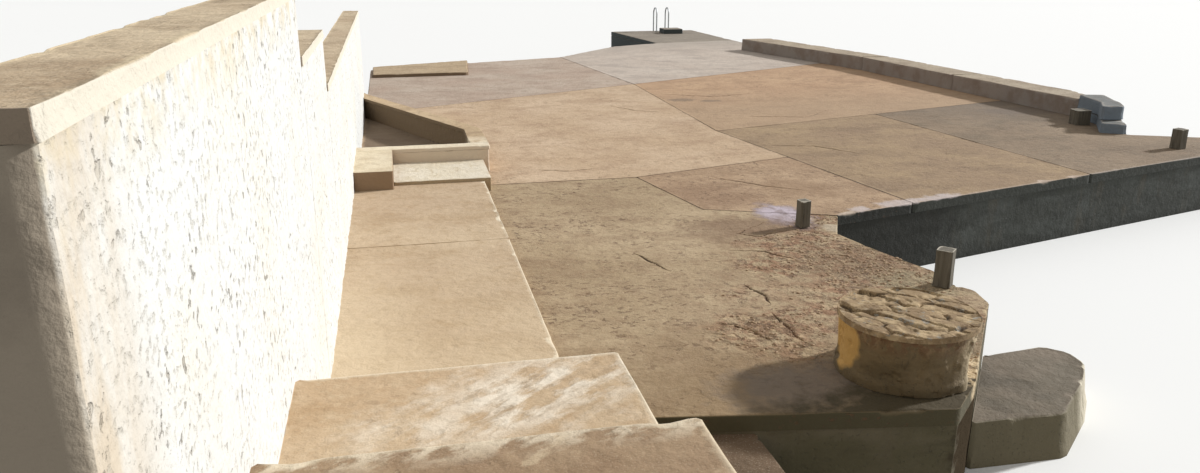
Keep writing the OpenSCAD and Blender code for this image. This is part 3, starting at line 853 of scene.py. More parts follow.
def mass(name, tone, pale, wet_tone):
    """Mass concrete poured in lifts: its own tone, the pale tone of dry patches, and the damp one"""
    return dress(surface(name, tone, 0.82),
                 (patches(900, 0.45, 0.62, seed=1, longer=(1, 1, 0.4)), pale),
                 (patches(300, 0.50, 0.64, 8, 2, (1.5, 1.5, 0.5), amount=0.7), wet_tone),
                 (patches(260, 0.54, 0.70, 4, 3, (1, 1, 3), amount=0.3), "#5F5340"),
                 (patches(200, 0.58, 0.72, 4, 8, (1, 1, 2), amount=0.3), pale),
                 (patches(14, 0.55, 0.75, 2, 4, amount=0.3), pale),
                 (carried("worn", 0.15, 0.7, amount=0.6), pale),
                 (overlap(band("Z", *WET_FOOT_Z), patches(300, 0.25, 0.5, seed=5)), wet_tone),
                 (patches(90, 0.3, 0.8, 8, 6), 8),
                 (patches(22, 0.62, 0.72, 2, 7), -5))


# The quay's cut corner has crumbled to rough aggregate, which does not shine when seen along its face; it is
# also painted darker there, as painted shade
CUT_CORNER = (-2.2, -11.9, 0.4)
USUAL_SHINE = 0.5
crumbled_shaded_face = spot(CUT_CORNER, (0.5, 0.6, 1.2), soft=0.2)
quay_near = mass("olive quay concrete", "#564F36", "#655C46", "#474029")
layer(quay_near, crumbled_shaded_face, "#443B2F")
shine = add(quay_near.node_tree, "ShaderNodeMapRange",
            {"Value": crumbled_shaded_face, "To Min": USUAL_SHINE, "To Max": 0.0})
quay_shader = quay_near.node_tree.nodes["Principled BSDF"]
quay_near.node_tree.links.new(shine.outputs[0], quay_shader.inputs["Specular IOR Level"])

SHADED_CORNER = (-0.9, -7.4, 0.5)
quay_wing = mass("grey quay concrete", "#42443E", "#525550", "#30322C")
layer(quay_wing, spot(SHADED_CORNER, (1.5, 1.0, 1.0), amount=0.85), "#22221C")

LEDGE_END_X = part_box("corner_ledge")[1].x
LIT_END_REACH = (0.50, 0.34)
ledge_end_highlight = overlap(carried("side", 0.3, 0.8), band("X", *(LEDGE_END_X - reach for reach in LIT_END_REACH)))
# The ledge's upright faces are painted lighter than its top, as painted fill light in their shade, and its
# broken end is painted pale, as a painted highlight.
ledge_concrete = dress(
    mass("brown ledge concrete", "#665C4B", "#776A59", "#4D4435"),
    (carried("side", 0.4, 0.9), "#716850"),
    (overlap(ledge_end_highlight, patches(110, 0.34, 0.46, 8, 8, (1, 1, 3))), "#C9C0AA"))
parapet_concrete = dress(
    concrete("brown parapet concrete", "#A79780", "#AFA18B", "#7D6A57", "#9A8F85", "#A2917C", 0.7),
    (overlap(carried("side", 0.5, 0.9), patches(420, 0.45, 0.6, 8, 18, amount=0.5)), "#7D6858"))
# The end block's upright faces are painted lighter and bluer than its top, as painted sky light in their
# shade.
block_concrete = concrete("grey end block concrete", "#6C6E6D", "#797B78", "#565652", "#79838C", "#8E8981")
print("mass concrete done")

# %% [markdown]
# ## Limewashed rubble
# The retaining wall is split stone under many coats of limewash. The coats fill the joints
# but leave pits a few centimetres wide, which come in clusters and are painted dark, as painted
# shade in the hollows. Near the end, and under the coping, the wash has yellowed. The end face
# was never washed, and it is painted darker still, as painted shade.

# %% Limewash
NEAR_END_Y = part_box("wall_bay_1")[0].y
YELLOW_END = (0.5, 0.1)
UNDER_COPING_Z = (3.12, 3.3)
near_end = overlap(band("Y", *(NEAR_END_Y + reach for reach in YELLOW_END)),
                   patches(300, 0.3, 0.56, seed=2, longer=(1, 0.6, 2), amount=0.85))
under_coping = overlap(band("Z", *UNDER_COPING_Z), patches(130, 0.42, 0.6, 8, 5, amount=0.7))
washed = carried("dark", 0.6, 0.3)
# Faces that look toward -Y, away from the sun, are painted darker: stone that was never washed, and painted
# shade.
unwashed_and_shaded_end = carried("dark", 0.3, 0.7)
fine_pits_shaded = overlap(patches(28, 0.55, 0.65, 5, 6, (1, 1.3, 1.1), amount=0.5),
                    overlap(washed, patches(300, 0.38, 0.5, seed=9)))
deep_pits_shaded = overlap(overlap(washed, patches(420, 0.42, 0.58, 4, 7)),
                    patches(38, 0.60, 0.66, 6, 3, (1, 1.3, 1.2), amount=0.7))
lime_wall = dress(surface("limewashed rubble", "#D5D6D3", 0.95),
                  (patches(900, 0.46, 0.66, 7, 1, amount=0.45), "#DAD4C4"),
                  (near_end, "#BFB099"), (under_coping, "#C8BA9A"),
                  (fine_pits_shaded, "#B3AEA0"), (deep_pits_shaded, "#958C7B"), (unwashed_and_shaded_end, "#9A8E7D"),
                  (overlap(unwashed_and_shaded_end, patches(380, 0.44, 0.56, 7, 11, amount=0.6)), "#857A6B"),
                  (patches(70, 0.3, 0.75, 7, 4), 6), (fine_pits_shaded, -5), (deep_pits_shaded, -9))
print("wall pits are about 28 and 38 mm apart")

# %% [markdown]
# ## Coping, planter and seat stone
# Sandy mortar over stone, the same recipe as the concrete but warmer. The end of the coping
# is painted as dull as the wall's end below it, as painted shade. The planter's front wall has
# a pale rubbed top, and its side wall turns pale where it meets the front.

# %% Coping, planter and seat stone
PALE_CORNER_Y = (-4.15, -4.5)
coping_stone = dress(
    concrete("sandy coping stone", "#BFA98B", "#D2BFA0", "#967E61", "#CFC8B8", "#CBB999", 0.7),
    (unwashed_and_shaded_end, "#8D7E6C"))
planter_stone = dress(
    concrete("sandy planter stone", "#B59C7A", "#C6AE8C", "#8A7154", "#A58C6B", None, 0.7),
    (overlap(band("Y", *PALE_CORNER_Y), patches(200, 0.3, 0.5, seed=20)), "#DDCDB2"))
planter_pale = concrete("pale planter stone", "#E0D2B8", "#EADFCA", "#C2AC8A", "#D3C2AC", None, 0.15)
seat_stone = concrete("limewashed seat stone", "#D5C6A9", "#E0D4BC", "#B5A07E", "#8C745A", None, 0.15)
print("stones done")

# %% [markdown]
# ## Timber and steel
# The posts are hardwood gone grey: long dark checks along the grain, a little brown left in
# between. The ladder is galvanised tube, dulled to a soft grey, with rust where the zinc has
# gone. Weathered zinc still reflects as metal, but a rough one.

# %% Timber, steel and gravel
timber_checks = patches(18, 0.60, 0.68, seed=2, longer=(1, 1, 18), amount=0.8)
weathered_timber = dress(surface("grey weathered timber", "#5A5447", 0.85),
                         (patches(34, 0.42, 0.62, seed=1, longer=(1, 1, 14), amount=0.8), "#6F685B"),
                         (timber_checks, "#332C20"),
                         (carried("worn", 0.05, 0.4, amount=0.9), "#BDB5A5"),
                         (timber_checks, -4))
rust_patches = patches(45, 0.56, 0.66, seed=1, amount=0.8)
galvanised = dress(surface("dull galvanised tube", "#9A9E9F", 0.45, metallic=0.9),
                   (rust_patches, "#6B4226"), (rust_patches, 0.6))
gravel = dress(surface("exposed river gravel", "#93765A", 0.8),
               (patches(45, 0.40, 0.60, seed=1), "#AE9474"), (patches(30, 0.55, 0.65, seed=2), "#75573F"))
print("materials:", len(bpy.data.materials))

# %% [markdown]
# ## How each kind of surface wears
# A look is a small set of sizes in metres: how fine the grid is, how round the arris, how
# deep the chips, how far the faces dent and the top dips. Fine grids stand near the camera,
# and tops that are built over get a coarse one.

# %% Looks
HOLLOW_DEPTH, HOLLOW_SIZE = 0.020, 0.14
# Broken-up ground beside the drum and along the near edge, as centre and reach
ROUGH_GROUND = [((-1.9, -9.2), 1.4), ((-1.5, -8.3), 0.8), ((-3.0, -10.45), 1.05), ((-2.2, -11.0), 0.9)]


def quiet(points):
    """Ground that is nowhere broken up"""
    return np.zeros(len(points))


def scattered(points):
    """A few places anywhere that are a little broken up"""
    return 0.35 * ease(rough(points, 0.7, 4, 21), 0.55, 0.7)


def drum_side(points):
    """Ground that is most broken up beside the drum and along the free edge"""
    most = np.zeros(len(points))
    for centre, reach in ROUGH_GROUND:
        apart = np.linalg.norm(points[:, :2] - centre, axis=1)
        most = np.maximum(most, 1 - ease(apart / reach, 0.3, 1.0))
    return np.clip(0.15 + most * ease(rough(points, 0.9, 3, 23), 0.3, 0.6), 0, 1)


def half_rough(points):
    """The edge of that ground, on the next slab"""
    return 0.45 * drum_side(points)


def look(grid, wear, nick, dent=0.004, dent_size=0.3, dip=0.006, dip_size=0.9, rough_at=scattered, **more):
    """How one kind of block wears: sizes in metres, and functions that give a depth at each point"""
    return {
        "grid": grid, "wear": wear, "nick": nick, "rough": rough_at,
        "dent": lambda p: dent * rough(p, dent_size, 3, 31),
        "sink": lambda p: (dip * rough(p, dip_size, 5, 41)
                           + rough_at(p) * HOLLOW_DEPTH * rough(p, HOLLOW_SIZE, 4, 51)),
        **more}


def worn_blocks(rows):
    """A worn block for every node that a row names, with the row's look, material and cracks"""
    return {node: worn_block(node, *finish) for names, *finish in rows for node in names.split()}


near_ground = raised(np.random.default_rng(2).uniform((-3, -10), (-1.5, -8.5), (3000, 2)), 0.8)
print("rough share near the drum:", drum_side(near_ground).mean().round(2))

# %% [markdown]
# ## The deck
# The slabs come first. The crack paths are written from the near end of the steps, in metres
# from the wall, as they were paced out on the picture.

# %% Crack paths on the deck
WALL_FACE_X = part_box("walkway_near")[0].x
STEPS_END_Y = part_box("upper_landing")[0].y


def paced(*path):
    """A path measured from the wall face and the near end of the steps"""
    return [(x + WALL_FACE_X, y + STEPS_END_Y) for x, y in path]


NEAR_CRACKS = [
    paced((2.66, 6.72), (2.76, 6.46), (2.86, 6.15)),
    paced((3.38, 5.66), (3.46, 5.40), (3.42, 5.20)),
    paced((3.38, 5.00), (3.36, 4.72), (3.40, 4.42)),
    paced((4.28, 7.42), (3.85, 7.12), (4.0, 6.98), (4.42, 7.12)),
    paced((3.6, 6.6), (3.9, 6.5), (4.1, 6.2)),
    paced((2.9, 4.9), (3.1, 4.7), (3.15, 4.5))]
MIDDLE_CRACKS = [paced((4.4, 9.5), (4.9, 8.9), (5.3, 8.6))]
LEFT_CRACKS = [
    paced((2.2, 10.4), (2.7, 10.2), (3.1, 10.3)),
    paced((5.15, 14.3), (4.7, 14.6), (4.4, 15.2))]
WING_CRACKS = [paced((5.9, 11.2), (6.5, 11.0), (6.9, 10.4))]
CENTRE_CRACKS = [paced((6.5, 13.6), (7.4, 13.3), (8.1, 13.9)), paced((5.7, 16.4), (6.6, 15.8), (7.6, 16.1))]
print("cracks on the slab by the drum:", len(NEAR_CRACKS))

# %% Deck slabs
DECK_JOINT = 0.004
PROBE_LIFT = Vector((0, 0, 0.1))
PLANTER_DIRT = 0.6


def bedded(points):
    """Marks ground inside the planter, which has the planter's side wall to its right"""
    hits = [all_solids.ray_cast(Vector(p) + PROBE_LIFT, Vector((1, 0, 0))) for p in points]
    return np.array([PLANTER_DIRT if hit[0] and owner[hit[2]] == "planter_side" else 0.0 for hit in hits])


joint = {"swell": DECK_JOINT, "joint_wear": 0.25, "joint_dirt": 0.3}
faint = {"swell": DECK_JOINT, "joint_wear": 0.15, "joint_dirt": 0.2}
near_look = look(0.024, 0.022, 0.034, rough_at=drum_side, crack=2.2, **joint)
middle_look = look(0.035, 0.026, 0.03, rough_at=half_rough, crack=1.8, **joint)
deck_pieces = worn_blocks([
    ("slab_near", near_look, deck_near, NEAR_CRACKS),
    ("slab_middle", middle_look, deck_middle, MIDDLE_CRACKS),
    ("slab_left", look(0.05, 0.016, 0.02, crack=1.8, gaps=bedded, **faint), deck_sandy, LEFT_CRACKS),
    ("slab_wing_inner", look(0.05, 0.022, 0.035, crack=2.2, **faint), deck_wing, WING_CRACKS),
    ("slab_wing_outer", look(0.055, 0.024, 0.045, **faint), deck_tip),
    ("slab_centre", look(0.06, 0.018, 0.02, crack=2.6, **faint), deck_centre, CENTRE_CRACKS),
    ("slab_far_left", look(0.075, 0.022, 0.030, **faint), deck_dusty),
    ("slab_pale", look(0.075, 0.022, 0.030, **faint), deck_pale),
    ("head_block", look(0.08, 0.03, 0.04, rise=0.1), deck_head)])
print("deck pieces:", len(deck_pieces))

# %% [markdown]
# ## Steps, walkway and quay body
# The same block serves the poured steps and the quay's body below the deck. The body shows
# no arris of its own, so its edge stays nearly sharp, and its sides carry the lift lines:
# each lift stands a few millimetres back from the one below.

# %% Steps, walkway, quay body
LIFT = 0.23
LIFT_SETBACK, BOARD_ROUGHNESS = 0.004, 0.010


def lifts(points):
    """Boarded sides: each lift set back a little, with rough patches"""
    within = np.mod(points[:, 2], LIFT) / LIFT
    return LIFT_SETBACK * within + BOARD_ROUGHNESS * rough(points, 0.35, 4, 61)


body_look = look(0.055, 0.003, 0.0, rough_at=quiet, rise=0.05, top_grid=0.7) | {"dent": lifts}
step_look = look(0.034, 0.018, 0.022, rise=0.06)
worn_blocks([
    ("upper_landing", step_look, brown_concrete),
    ("lower_landing flight", step_look, cream_concrete),
    ("side_landing", look(0.035, 0.02, 0.03), low_concrete),
    ("walkway_near walkway_far", look(0.034, 0.016, 0.016, swell=0.005), walk_concrete),
    ("flat_step", look(0.025, 0.01, 0.012, dip=0.003, rough_at=quiet), lime_step),
    ("core_near", body_look, quay_near),
    ("core_wing core_middle core_far", body_look, quay_wing),
    ("corner_ledge", look(0.03, 0.04, 0.04, dent=0.03, dip=0.03, dip_size=0.4), ledge_concrete)])

# %% [markdown]
# ## Grit in the joints
# The slabs were poured with a strip between them that has since filled with sand and dust.
# One low slab of grit over each part of the body closes all its joints just under the
# surface, so a joint reads as a brown line and not as a black slot. It lies deeper under the
# slab by the drum, whose hollows would reach it.

# %% Joint grit
GRIT_INSET = 0.06
GRIT_DEPTH = 0.08
GRIT_SEED = 5
GRIT_SINK = {"core_near": 0.036, "core_wing": 0.010, "core_middle": 0.010, "core_far": 0.010}
DECK_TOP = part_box("slab_near")[1].z
joint_grit = concrete("sand in the joints", "#7C684E", "#8A7559", "#5A4935")
grit_look = look(0.5, 0.003, 0, dip=0.002, dip_size=0.2, rough_at=quiet, top_grid=0.25)
for node, sunk in GRIT_SINK.items():
    loop = tiers(node)[-1][1]
    loop = loop - outward(loop) * GRIT_INSET
    level = DECK_TOP - sunk
    shell = worn_shell((loop, loop, level - GRIT_DEPTH, level), grit_look, GRIT_SEED, (), node)
    mesh_piece(node + "_grit", [shell], joint_grit, None)

# %% [markdown]
# ## Wall, coping, planter and parapet
# Limewashed rubble has no flat face: it swells and sinks by a centimetre between stones.
# The coping is one long stone course, chipped along its edge. The planter is dark on the
# inside.

# %% Wall, coping, planter, parapet
STONE_SWELL, END_SWELL, PIT_DEPTH = 0.010, 0.022, 0.008


def rubble(points):
    """Faces that swell over each stone, most of all at the near end, with pits between them"""
    near = 1 - ease(points[:, 1] - NEAR_END_Y, 0.05, 0.5)
    swell = (STONE_SWELL + END_SWELL * near) * (rough(points, 0.2, 3, 71) - 0.8)
    return swell + PIT_DEPTH * ease(bumps(points, 0.07, 72), 0.62, 0.85)


def facing(way, amount=1):
    """Marks the faces that look one way"""
    return lambda points, out: amount * ease(out @ np.array(way), 0.45, 0.75)


def wall_look(grid):
    """The limewashed wall on a grid of this size, its end face marked darker as painted shade over stone that
    was never washed
    """
    made = look(grid, 0.012, 0.012, rough_at=quiet, top_grid=0.3, grime=facing((0, -1)))
    return made | {"dent": rubble}


# The coping's end face is marked darker, as painted shade.
coping_look = look(0.026, 0.008, 0.012, dent=0.012, dent_size=0.12, dip=0.010, dip_size=0.25,
                   grime=facing((0, -1)))
planter_look = look(0.024, 0.014, 0.020, dent=0.008, dip=0.006, dip_size=0.3)
parapet_look = look(0.05, 0.05, 0.045, dent=0.02, dip=0.02, dip_size=0.5, swell=0.006)
worn_blocks([
    ("wall_bay_1", wall_look(0.034), lime_wall),
    ("wall_bay_2", wall_look(0.035), lime_wall),
    ("wall_bay_3", wall_look(0.045), lime_wall),
    ("coping_1 coping_2 coping_3", coping_look, coping_stone),
    ("planter_front", planter_look | {"grime": facing((0, 1))}, planter_pale),
    ("planter_side", planter_look | {"grime": facing((-1, 0), 0.55)}, planter_stone),
    ("seat_block", look(0.024, 0.012, 0.014, dip=0.004, rough_at=quiet), seat_stone),
    ("parapet_bay_1 parapet_bay_2 parapet_bay_3", parapet_look, parapet_concrete),
    ("parapet_end", parapet_look, block_concrete),
    ("far_kerb", parapet_look, kerb_concrete),
    ("ladder_plinth", look(0.03, 0.02, 0.02), deck_head)])

# %% [markdown]
# ## Mooring posts
# Each post is one upright block from its foot to its head. The dents are stretched along the
# grain, so the faces show shallow checks, and the head is worn round.

# %% Posts
GRAIN_STRETCH = np.array([1, 1, 0.12])
CHECK_DEPTH = 0.006


def timber_dent(points):
    """Shallow checks that run up the post"""
    return CHECK_DEPTH * rough(points * GRAIN_STRETCH, 0.03, 3, 81)


post_look = look(0.011, 0.012, 0.010, dip=0.010, dip_size=0.06, rough_at=quiet, nick_size=0.03)
for node in ("post_near", "post_basin", "post_tip", "post_stub"):
    lower, _, z0, _ = tiers(node)[0]
    worn_block(node, post_look | {"dent": timber_dent}, weathered_timber,
               stack=[(lower, lower, z0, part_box(node)[1].z)])

# %% [markdown]
# ## The mooring drum
# The drum is a concrete bollard as wide as a cartwheel. Its mortar cap has split into plates
# that run one way, like slate. Cell noise gives them: each cell is a plate with its own
# level, squeezed across the run, with a dark gap where two cells meet.

# %% Plates of the cap
PLATE_RUN = math.radians(-52)
PLATE_LENGTH, PLATE_WIDTH = 0.36, 0.115
PLATE_BEND, PLATE_RAGGED, PLATE_END_RAGGED = 0.16, 0.05, 0.12
PLATE_STEP, GAP_DEPTH, CHIP_DEPTH = 0.022, 0.012, 0.010
drum_lo, drum_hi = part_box("mooring_drum")
drum_middle = (drum_lo + drum_hi) / 2
cap_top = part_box("drum_cap")[1].z


def cells(points, seed):
    """Random level of the nearest cell, and the gap to the next nearest, in cell widths"""
    base = np.floor(points).astype(np.int64)
    best = np.full((len(points), 2), 1e9)
    level = np.zeros(len(points))
    for dx in (-1, 0, 1):
        for dy in (-1, 0, 1):
            cell = np.column_stack([base[:, 0] + dx, base[:, 1] + dy, np.zeros(len(base), np.int64)])
            seat = cell[:, :2] + np.column_stack([lattice(cell, seed), lattice(cell, seed + 1)])
            apart = np.linalg.norm(points - seat, axis=1)
            closer = apart < best[:, 0]
            best[:, 1] = np.where(closer, best[:, 0], np.minimum(best[:, 1], apart))
            best[:, 0] = np.where(closer, apart, best[:, 0])
            level = np.where(closer, lattice(cell, seed + 2), level)
    return level, best[:, 1] - best[:, 0]


def plates(points):
    """Level and gap of the plate at each point of the cap"""
    bend = PLATE_BEND * (rough(points, 0.5, 3, 90) - 0.5)
    x, y = (points[:, :2] - drum_middle.xy).T
    run = x * math.cos(PLATE_RUN) + y * math.sin(PLATE_RUN)
    across = -x * math.sin(PLATE_RUN) + y * math.cos(PLATE_RUN) + bend
    across = across + PLATE_RAGGED * (rough(points, 0.12, 4, 91) - 0.5)
    run = run + PLATE_END_RAGGED * (rough(points, 0.15, 3, 92) - 0.5)
    return cells(np.column_stack([run / PLATE_LENGTH, across / PLATE_WIDTH]), 93)


def plate_sink(points):
    """How far each point of the cap lies below its highest plate"""
    level, gap = plates(points)
    groove = GAP_DEPTH * (1 - ease(gap, 0.0, 0.10))
    chipped = CHIP_DEPTH * ease(bumps(points, 0.06, 96), 0.62, 0.8)
    grain = 0.006 * rough(points, 0.05, 4, 95)
    return PLATE_STEP * level + groove + chipped + grain - 0.003 * np.minimum(gap, 0.6)


def plate_gaps(points):
    """Dirt in the gaps between plates, thick in some and thin in others"""
    gap = plates(points)[1]
    return 0.7 * (1 - ease(gap, 0.01, 0.11)) * ease(rough(points, 0.12, 3, 97), 0.3, 0.55)


def cap_dent(points):
    """The rim of the cap: bites a few centimetres wide, and rough mortar between them"""
    bites = ease(bumps(points * np.array([1, 1, 0.4]), 0.08, 97), 0.4, 0.9)
    return 0.004 + 0.030 * bites + 0.012 * rough(points, 0.03, 3, 94)


print("drum", round((drum_hi - drum_lo).x, 3), "m wide")

# %% Drum cap
CAP_COLUMNS = 300


def probed_ring(node, centre, z, columns):
    """Outline of a round node at height z, found by probing outward from its axis"""
    solid = search_tree(solids[node].reshape(-1, 3))
    ring = []
    for turn_by in np.linspace(0, 2 * math.pi, columns, endpoint=False):
        way = Vector((math.cos(turn_by), math.sin(turn_by), 0))
        ring.append(solid.ray_cast(Vector((centre.x, centre.y, z)), way)[0][:2])
    return np.array(ring)


cap_mortar = dress(
    concrete("flaky cap mortar", "#846D4E", "#99805E", "#665135", spots=0.6, grain=0.15),
    (patches(120, 0.48, 0.60, 9, 12, amount=0.7), "#BFA781"),
    (patches(70, 0.58, 0.64, 8, 13, amount=0.6), "#8F918B"),
    (patches(60, 0.56, 0.64, 8, 24, amount=0.6), "#5E4C34"))
cap_look = look(0.0095, 0.012, 0.030, rough_at=quiet, nick_size=0.07)
cap_look |= {"dent": cap_dent, "sink": plate_sink, "gaps": plate_gaps}
cap_ring = probed_ring("drum_cap", drum_middle, (drum_hi.z + cap_top) / 2, CAP_COLUMNS)
worn_block("drum_cap", cap_look, cap_mortar, stack=[(cap_ring, cap_ring, drum_hi.z, cap_top)])

# %% [markdown]
# The body below swells and sinks with the old mortar coats on it. Its rings are probed from
# the solid level by level, then pushed in by a few millimetres of noise. Ochre paint is left
# on the side away from the sun, and the sunny side has weathered pale.

# %% Drum finish
PAINT_AT = (drum_middle.x - 0.46, drum_middle.y + 0.03, drum_middle.z + 0.06)
PAINT_RADII = (0.17, 0.20, 0.21)
RUST_BROWN_Z = (drum_hi.z - 0.13, drum_hi.z - 0.03)
SUNNY_X = (drum_middle.x + 0.14, drum_middle.x + 0.36)
# The foot of the drum is painted darker, as painted shade.
FOOT_SHADE_Z = (drum_lo.z + 0.2, drum_lo.z)
under_cap = overlap(band("Z", *RUST_BROWN_Z), patches(70, 0.40, 0.52, 9, 10, amount=0.6))
sunny = overlap(band("X", *SUNNY_X), patches(80, 0.38, 0.48, 10, 11))
drum_concrete = dress(
    mass("dark drum concrete", "#6D5B3D", "#7E6B4C", "#55462B"),
    (band("Z", *FOOT_SHADE_Z, 0.7), "#4C4029"),
    (under_cap, "#70492F"),
    (overlap(under_cap, patches(50, 0.5, 0.58, seed=12)), "#9A825E"),
    (sunny, "#D2BF9C"), (sunny, 10),
    (spot(PAINT_AT, PAINT_RADII, ragged=0.25, soft=0.2), "#C29A59"))
print("paint left at", [round(v, 2) for v in PAINT_AT])

# %% Drum body
BODY_LEVELS = 26
BODY_COLUMNS = 260
COAT_SWELL, FLAKE_DEPTH = 0.010, 0.012
CRUMBLED_WAY = np.array([0.95, -0.31])
CRUMBLED_DEPTH, CRUMBLED_SWING = 0.03, 0.04
levels = np.linspace(drum_lo.z, drum_hi.z, BODY_LEVELS)
inset = np.clip(levels, drum_lo.z + 0.002, drum_hi.z - 0.002)
body = np.concatenate([raised(probed_ring("mooring_drum", drum_middle, z, BODY_COLUMNS), seat)
                       for z, seat in zip(inset, levels)])
away = body[:, :2] - drum_middle.xy
away /= np.linalg.norm(away, axis=1, keepdims=True)
flaked = ease(rough(body * np.array([1, 1, 1.6]), 0.12, 4, 99), 0.55, 0.6)
# The side on the basin has crumbled most, and more so towards the foot
eaten = ease(away @ CRUMBLED_WAY, 0.72, 0.97) * ease(drum_hi.z - body[:, 2], 0.04, 0.34)
crumbled = eaten * (CRUMBLED_DEPTH + CRUMBLED_SWING * rough(body, 0.09, 4, 100))
body[:, :2] -= away * (COAT_SWELL * rough(body, 0.05, 3, 98) + FLAKE_DEPTH * flaked + crumbled)[:, None]
drum_faces = [tuple(range(BODY_COLUMNS - 1, -1, -1)), tuple(range(len(body) - BODY_COLUMNS, len(body)))]
for r in range(BODY_LEVELS - 1):
    drum_faces += ring_quads(r * BODY_COLUMNS, BODY_COLUMNS)
none = np.zeros(len(body))
drum_marks = np.stack((flaked * 0.4, none, none + 1, none), 1)
mesh_piece("mooring_drum_worn", [(body, drum_faces, drum_marks)], drum_concrete,
           "mooring_drum")
print("flaked share of the drum", flaked.mean().round(2))

# %% [markdown]
# ## The ladder
# The tubes keep the solids of the frame, since a bent tube is already its true shape. They
# get the dull zinc finish and smooth shading. The flanges and wall discs are bolted down:
# those small hex bolts repeat, so Geometry Nodes puts one on each point of a small mesh.

# %% Ladder tubes
TUBE_CREASE = math.radians(35)
for node in ("ladder_frame", "ladder_treads"):
    tubes = nodes[node].data
    tubes.materials.clear()
    tubes.materials.append(galvanised)
    smooth_shaded(tubes, TUBE_CREASE)
print("ladder faces:", len(nodes["ladder_frame"].data.polygons))

# %% [markdown]
# ## Geometry Nodes for what repeats
# Two things repeat here: bolts on the ladder and gravel in the spalled concrete. Both node
# trees share the same ending, and one function runs a tree and turns the result into a plain
# mesh. Inputs are set by their socket's identifier before the first evaluation.

# %% Make and run a node tree
def new_tree(name, sockets):
    """An empty geometry tree with its named inputs, and the sockets that give them"""
    tree = bpy.data.node_groups.new(name, "GeometryNodeTree")
    tree.interface.new_socket("Geometry", in_out="INPUT", socket_type="NodeSocketGeometry")
    for title, kind, value in sockets:
        socket = tree.interface.new_socket(title, in_out="INPUT", socket_type="NodeSocket" + kind)
        if value is not None:
            socket.default_value = value
    tree.interface.new_socket("Geometry", in_out="OUTPUT", socket_type="NodeSocketGeometry")
    return tree, add(tree, "NodeGroupInput").outputs


def end_tree(tree, copies, material):
    """Makes the copies real, gives them one material and ends the tree"""
    real = add(tree, "GeometryNodeRealizeInstances", {0: copies.outputs[0]})
    coated = add(tree, "GeometryNodeSetMaterial", {"Geometry": real.outputs[0], "Material": material})
    add(tree, "NodeGroupOutput", {0: coated.outputs[0]})


def run_tree(tree, name, mesh, inputs):
    """The tree's result on a mesh, as one plain object on the root body"""
    piece = linked(name, mesh)
    modifier = piece.modifiers.new("repeat", "NODES")
    modifier.node_group = tree
    for item in tree.interface.items_tree:
        if item.item_type == "SOCKET" and item.in_out == "INPUT" and item.name in inputs:
            modifier[item.identifier] = inputs[item.name]
    shown = piece.evaluated_get(bpy.context.evaluated_depsgraph_get())
    plain = bpy.data.meshes.new_from_object(shown)
    piece.modifiers.clear()
    piece.data = plain
    plain.name = name
    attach(piece, "root")
    print(name, "triangles:", sum(len(p.vertices) - 2 for p in plain.polygons))
    return piece


print("tree helpers ready")

# %% [markdown]
# ## Hex bolts
# A bolt is a six-sided head on a thin washer. The points carry the direction each bolt faces
# as a normal-like attribute, so the tree can turn it: up on the flanges, out on the wall.

# %% Bolt tree
bolt_tree, given = new_tree("hex bolts", [
    ("Head radius", "Float", 0.01), ("Head height", "Float", 0.005),
    ("Washer radius", "Float", 0.015), ("Metal", "Material", None)])
head = add(bolt_tree, "GeometryNodeMeshCylinder", {
    "Vertices": 6, "Radius": given["Head radius"], "Depth": given["Head height"]})
lift = add(bolt_tree, "ShaderNodeCombineXYZ", {"Z": given["Head height"]})
head_up = add(bolt_tree, "GeometryNodeTransform",
              {"Geometry": head.outputs["Mesh"], "Translation": lift.outputs[0]})
washer = add(bolt_tree, "GeometryNodeMeshCylinder", {
    "Vertices": 16, "Radius": given["Washer radius"], "Depth": given["Head height"]})
bolt = add(bolt_tree, "GeometryNodeJoinGeometry")
for part in (head_up.outputs[0], washer.outputs["Mesh"]):
    bolt_tree.links.new(part, bolt.inputs[0])
bolt_way = add(bolt_tree, "GeometryNodeInputNamedAttribute", {"Name": "facing"}, data_type="FLOAT_VECTOR")
turned = add(bolt_tree, "FunctionNodeAlignRotationToVector", {"Vector": bolt_way.outputs[0]}, axis="Z")
placed = add(bolt_tree, "GeometryNodeInstanceOnPoints", {
    "Points": given["Geometry"], "Instance": bolt.outputs[0], "Rotation": turned.outputs[0]})
end_tree(bolt_tree, placed, given["Metal"])
print("nodes in the bolt tree:", len(bolt_tree.nodes))

# %% Bolts on the ladder
BOLT = {"Head radius": 0.008, "Head height": 0.006, "Washer radius": 0.013, "Metal": galvanised}
WASHER_LIFT = 0.001
FLANGE_RADIUS = 0.0504
FLANGE_TOP = 0.81
BOLT_CIRCLE = 0.039
DISC_CIRCLE = 0.031
DISC_LEVELS = (0.2, 0.66)
DISC_THICK = 0.008

rail_lo, rail_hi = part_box("ladder_frame")
far_face_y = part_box("core_far")[1].y
seats, faces_out = [], []
for x in (rail_lo.x + FLANGE_RADIUS, rail_hi.x - FLANGE_RADIUS):
    for k in range(4):
        turn_by = math.radians(45 + 90 * k)
        seats.append((x + BOLT_CIRCLE * math.cos(turn_by),
                      rail_lo.y + FLANGE_RADIUS + BOLT_CIRCLE * math.sin(turn_by), FLANGE_TOP + WASHER_LIFT))
        faces_out.append((0, 0, 1))
    for level in DISC_LEVELS:
        for step in (-1, 1):
            seats.append((x, far_face_y + DISC_THICK + WASHER_LIFT, level + step * DISC_CIRCLE))
            faces_out.append((0, 1, 0))
seat_mesh = bpy.data.meshes.new("bolt seats")
seat_mesh.from_pydata(seats, [], [])
seat_mesh.attributes.new("facing", "FLOAT_VECTOR", "POINT").data.foreach_set(
    "vector", np.array(faces_out, np.float32).ravel())
run_tree(bolt_tree, "ladder_bolts", seat_mesh, BOLT)

# %% [markdown]
# ## Gravel in the spalls
# Where the floated skin is gone, rounded gravel stands a little proud of the mortar. The
# tree scatters points by the `rough` attribute and puts a flattened stone on each. The
# stones run from 12 to 44 mm, the coarse end of what was thrown into such mixes.

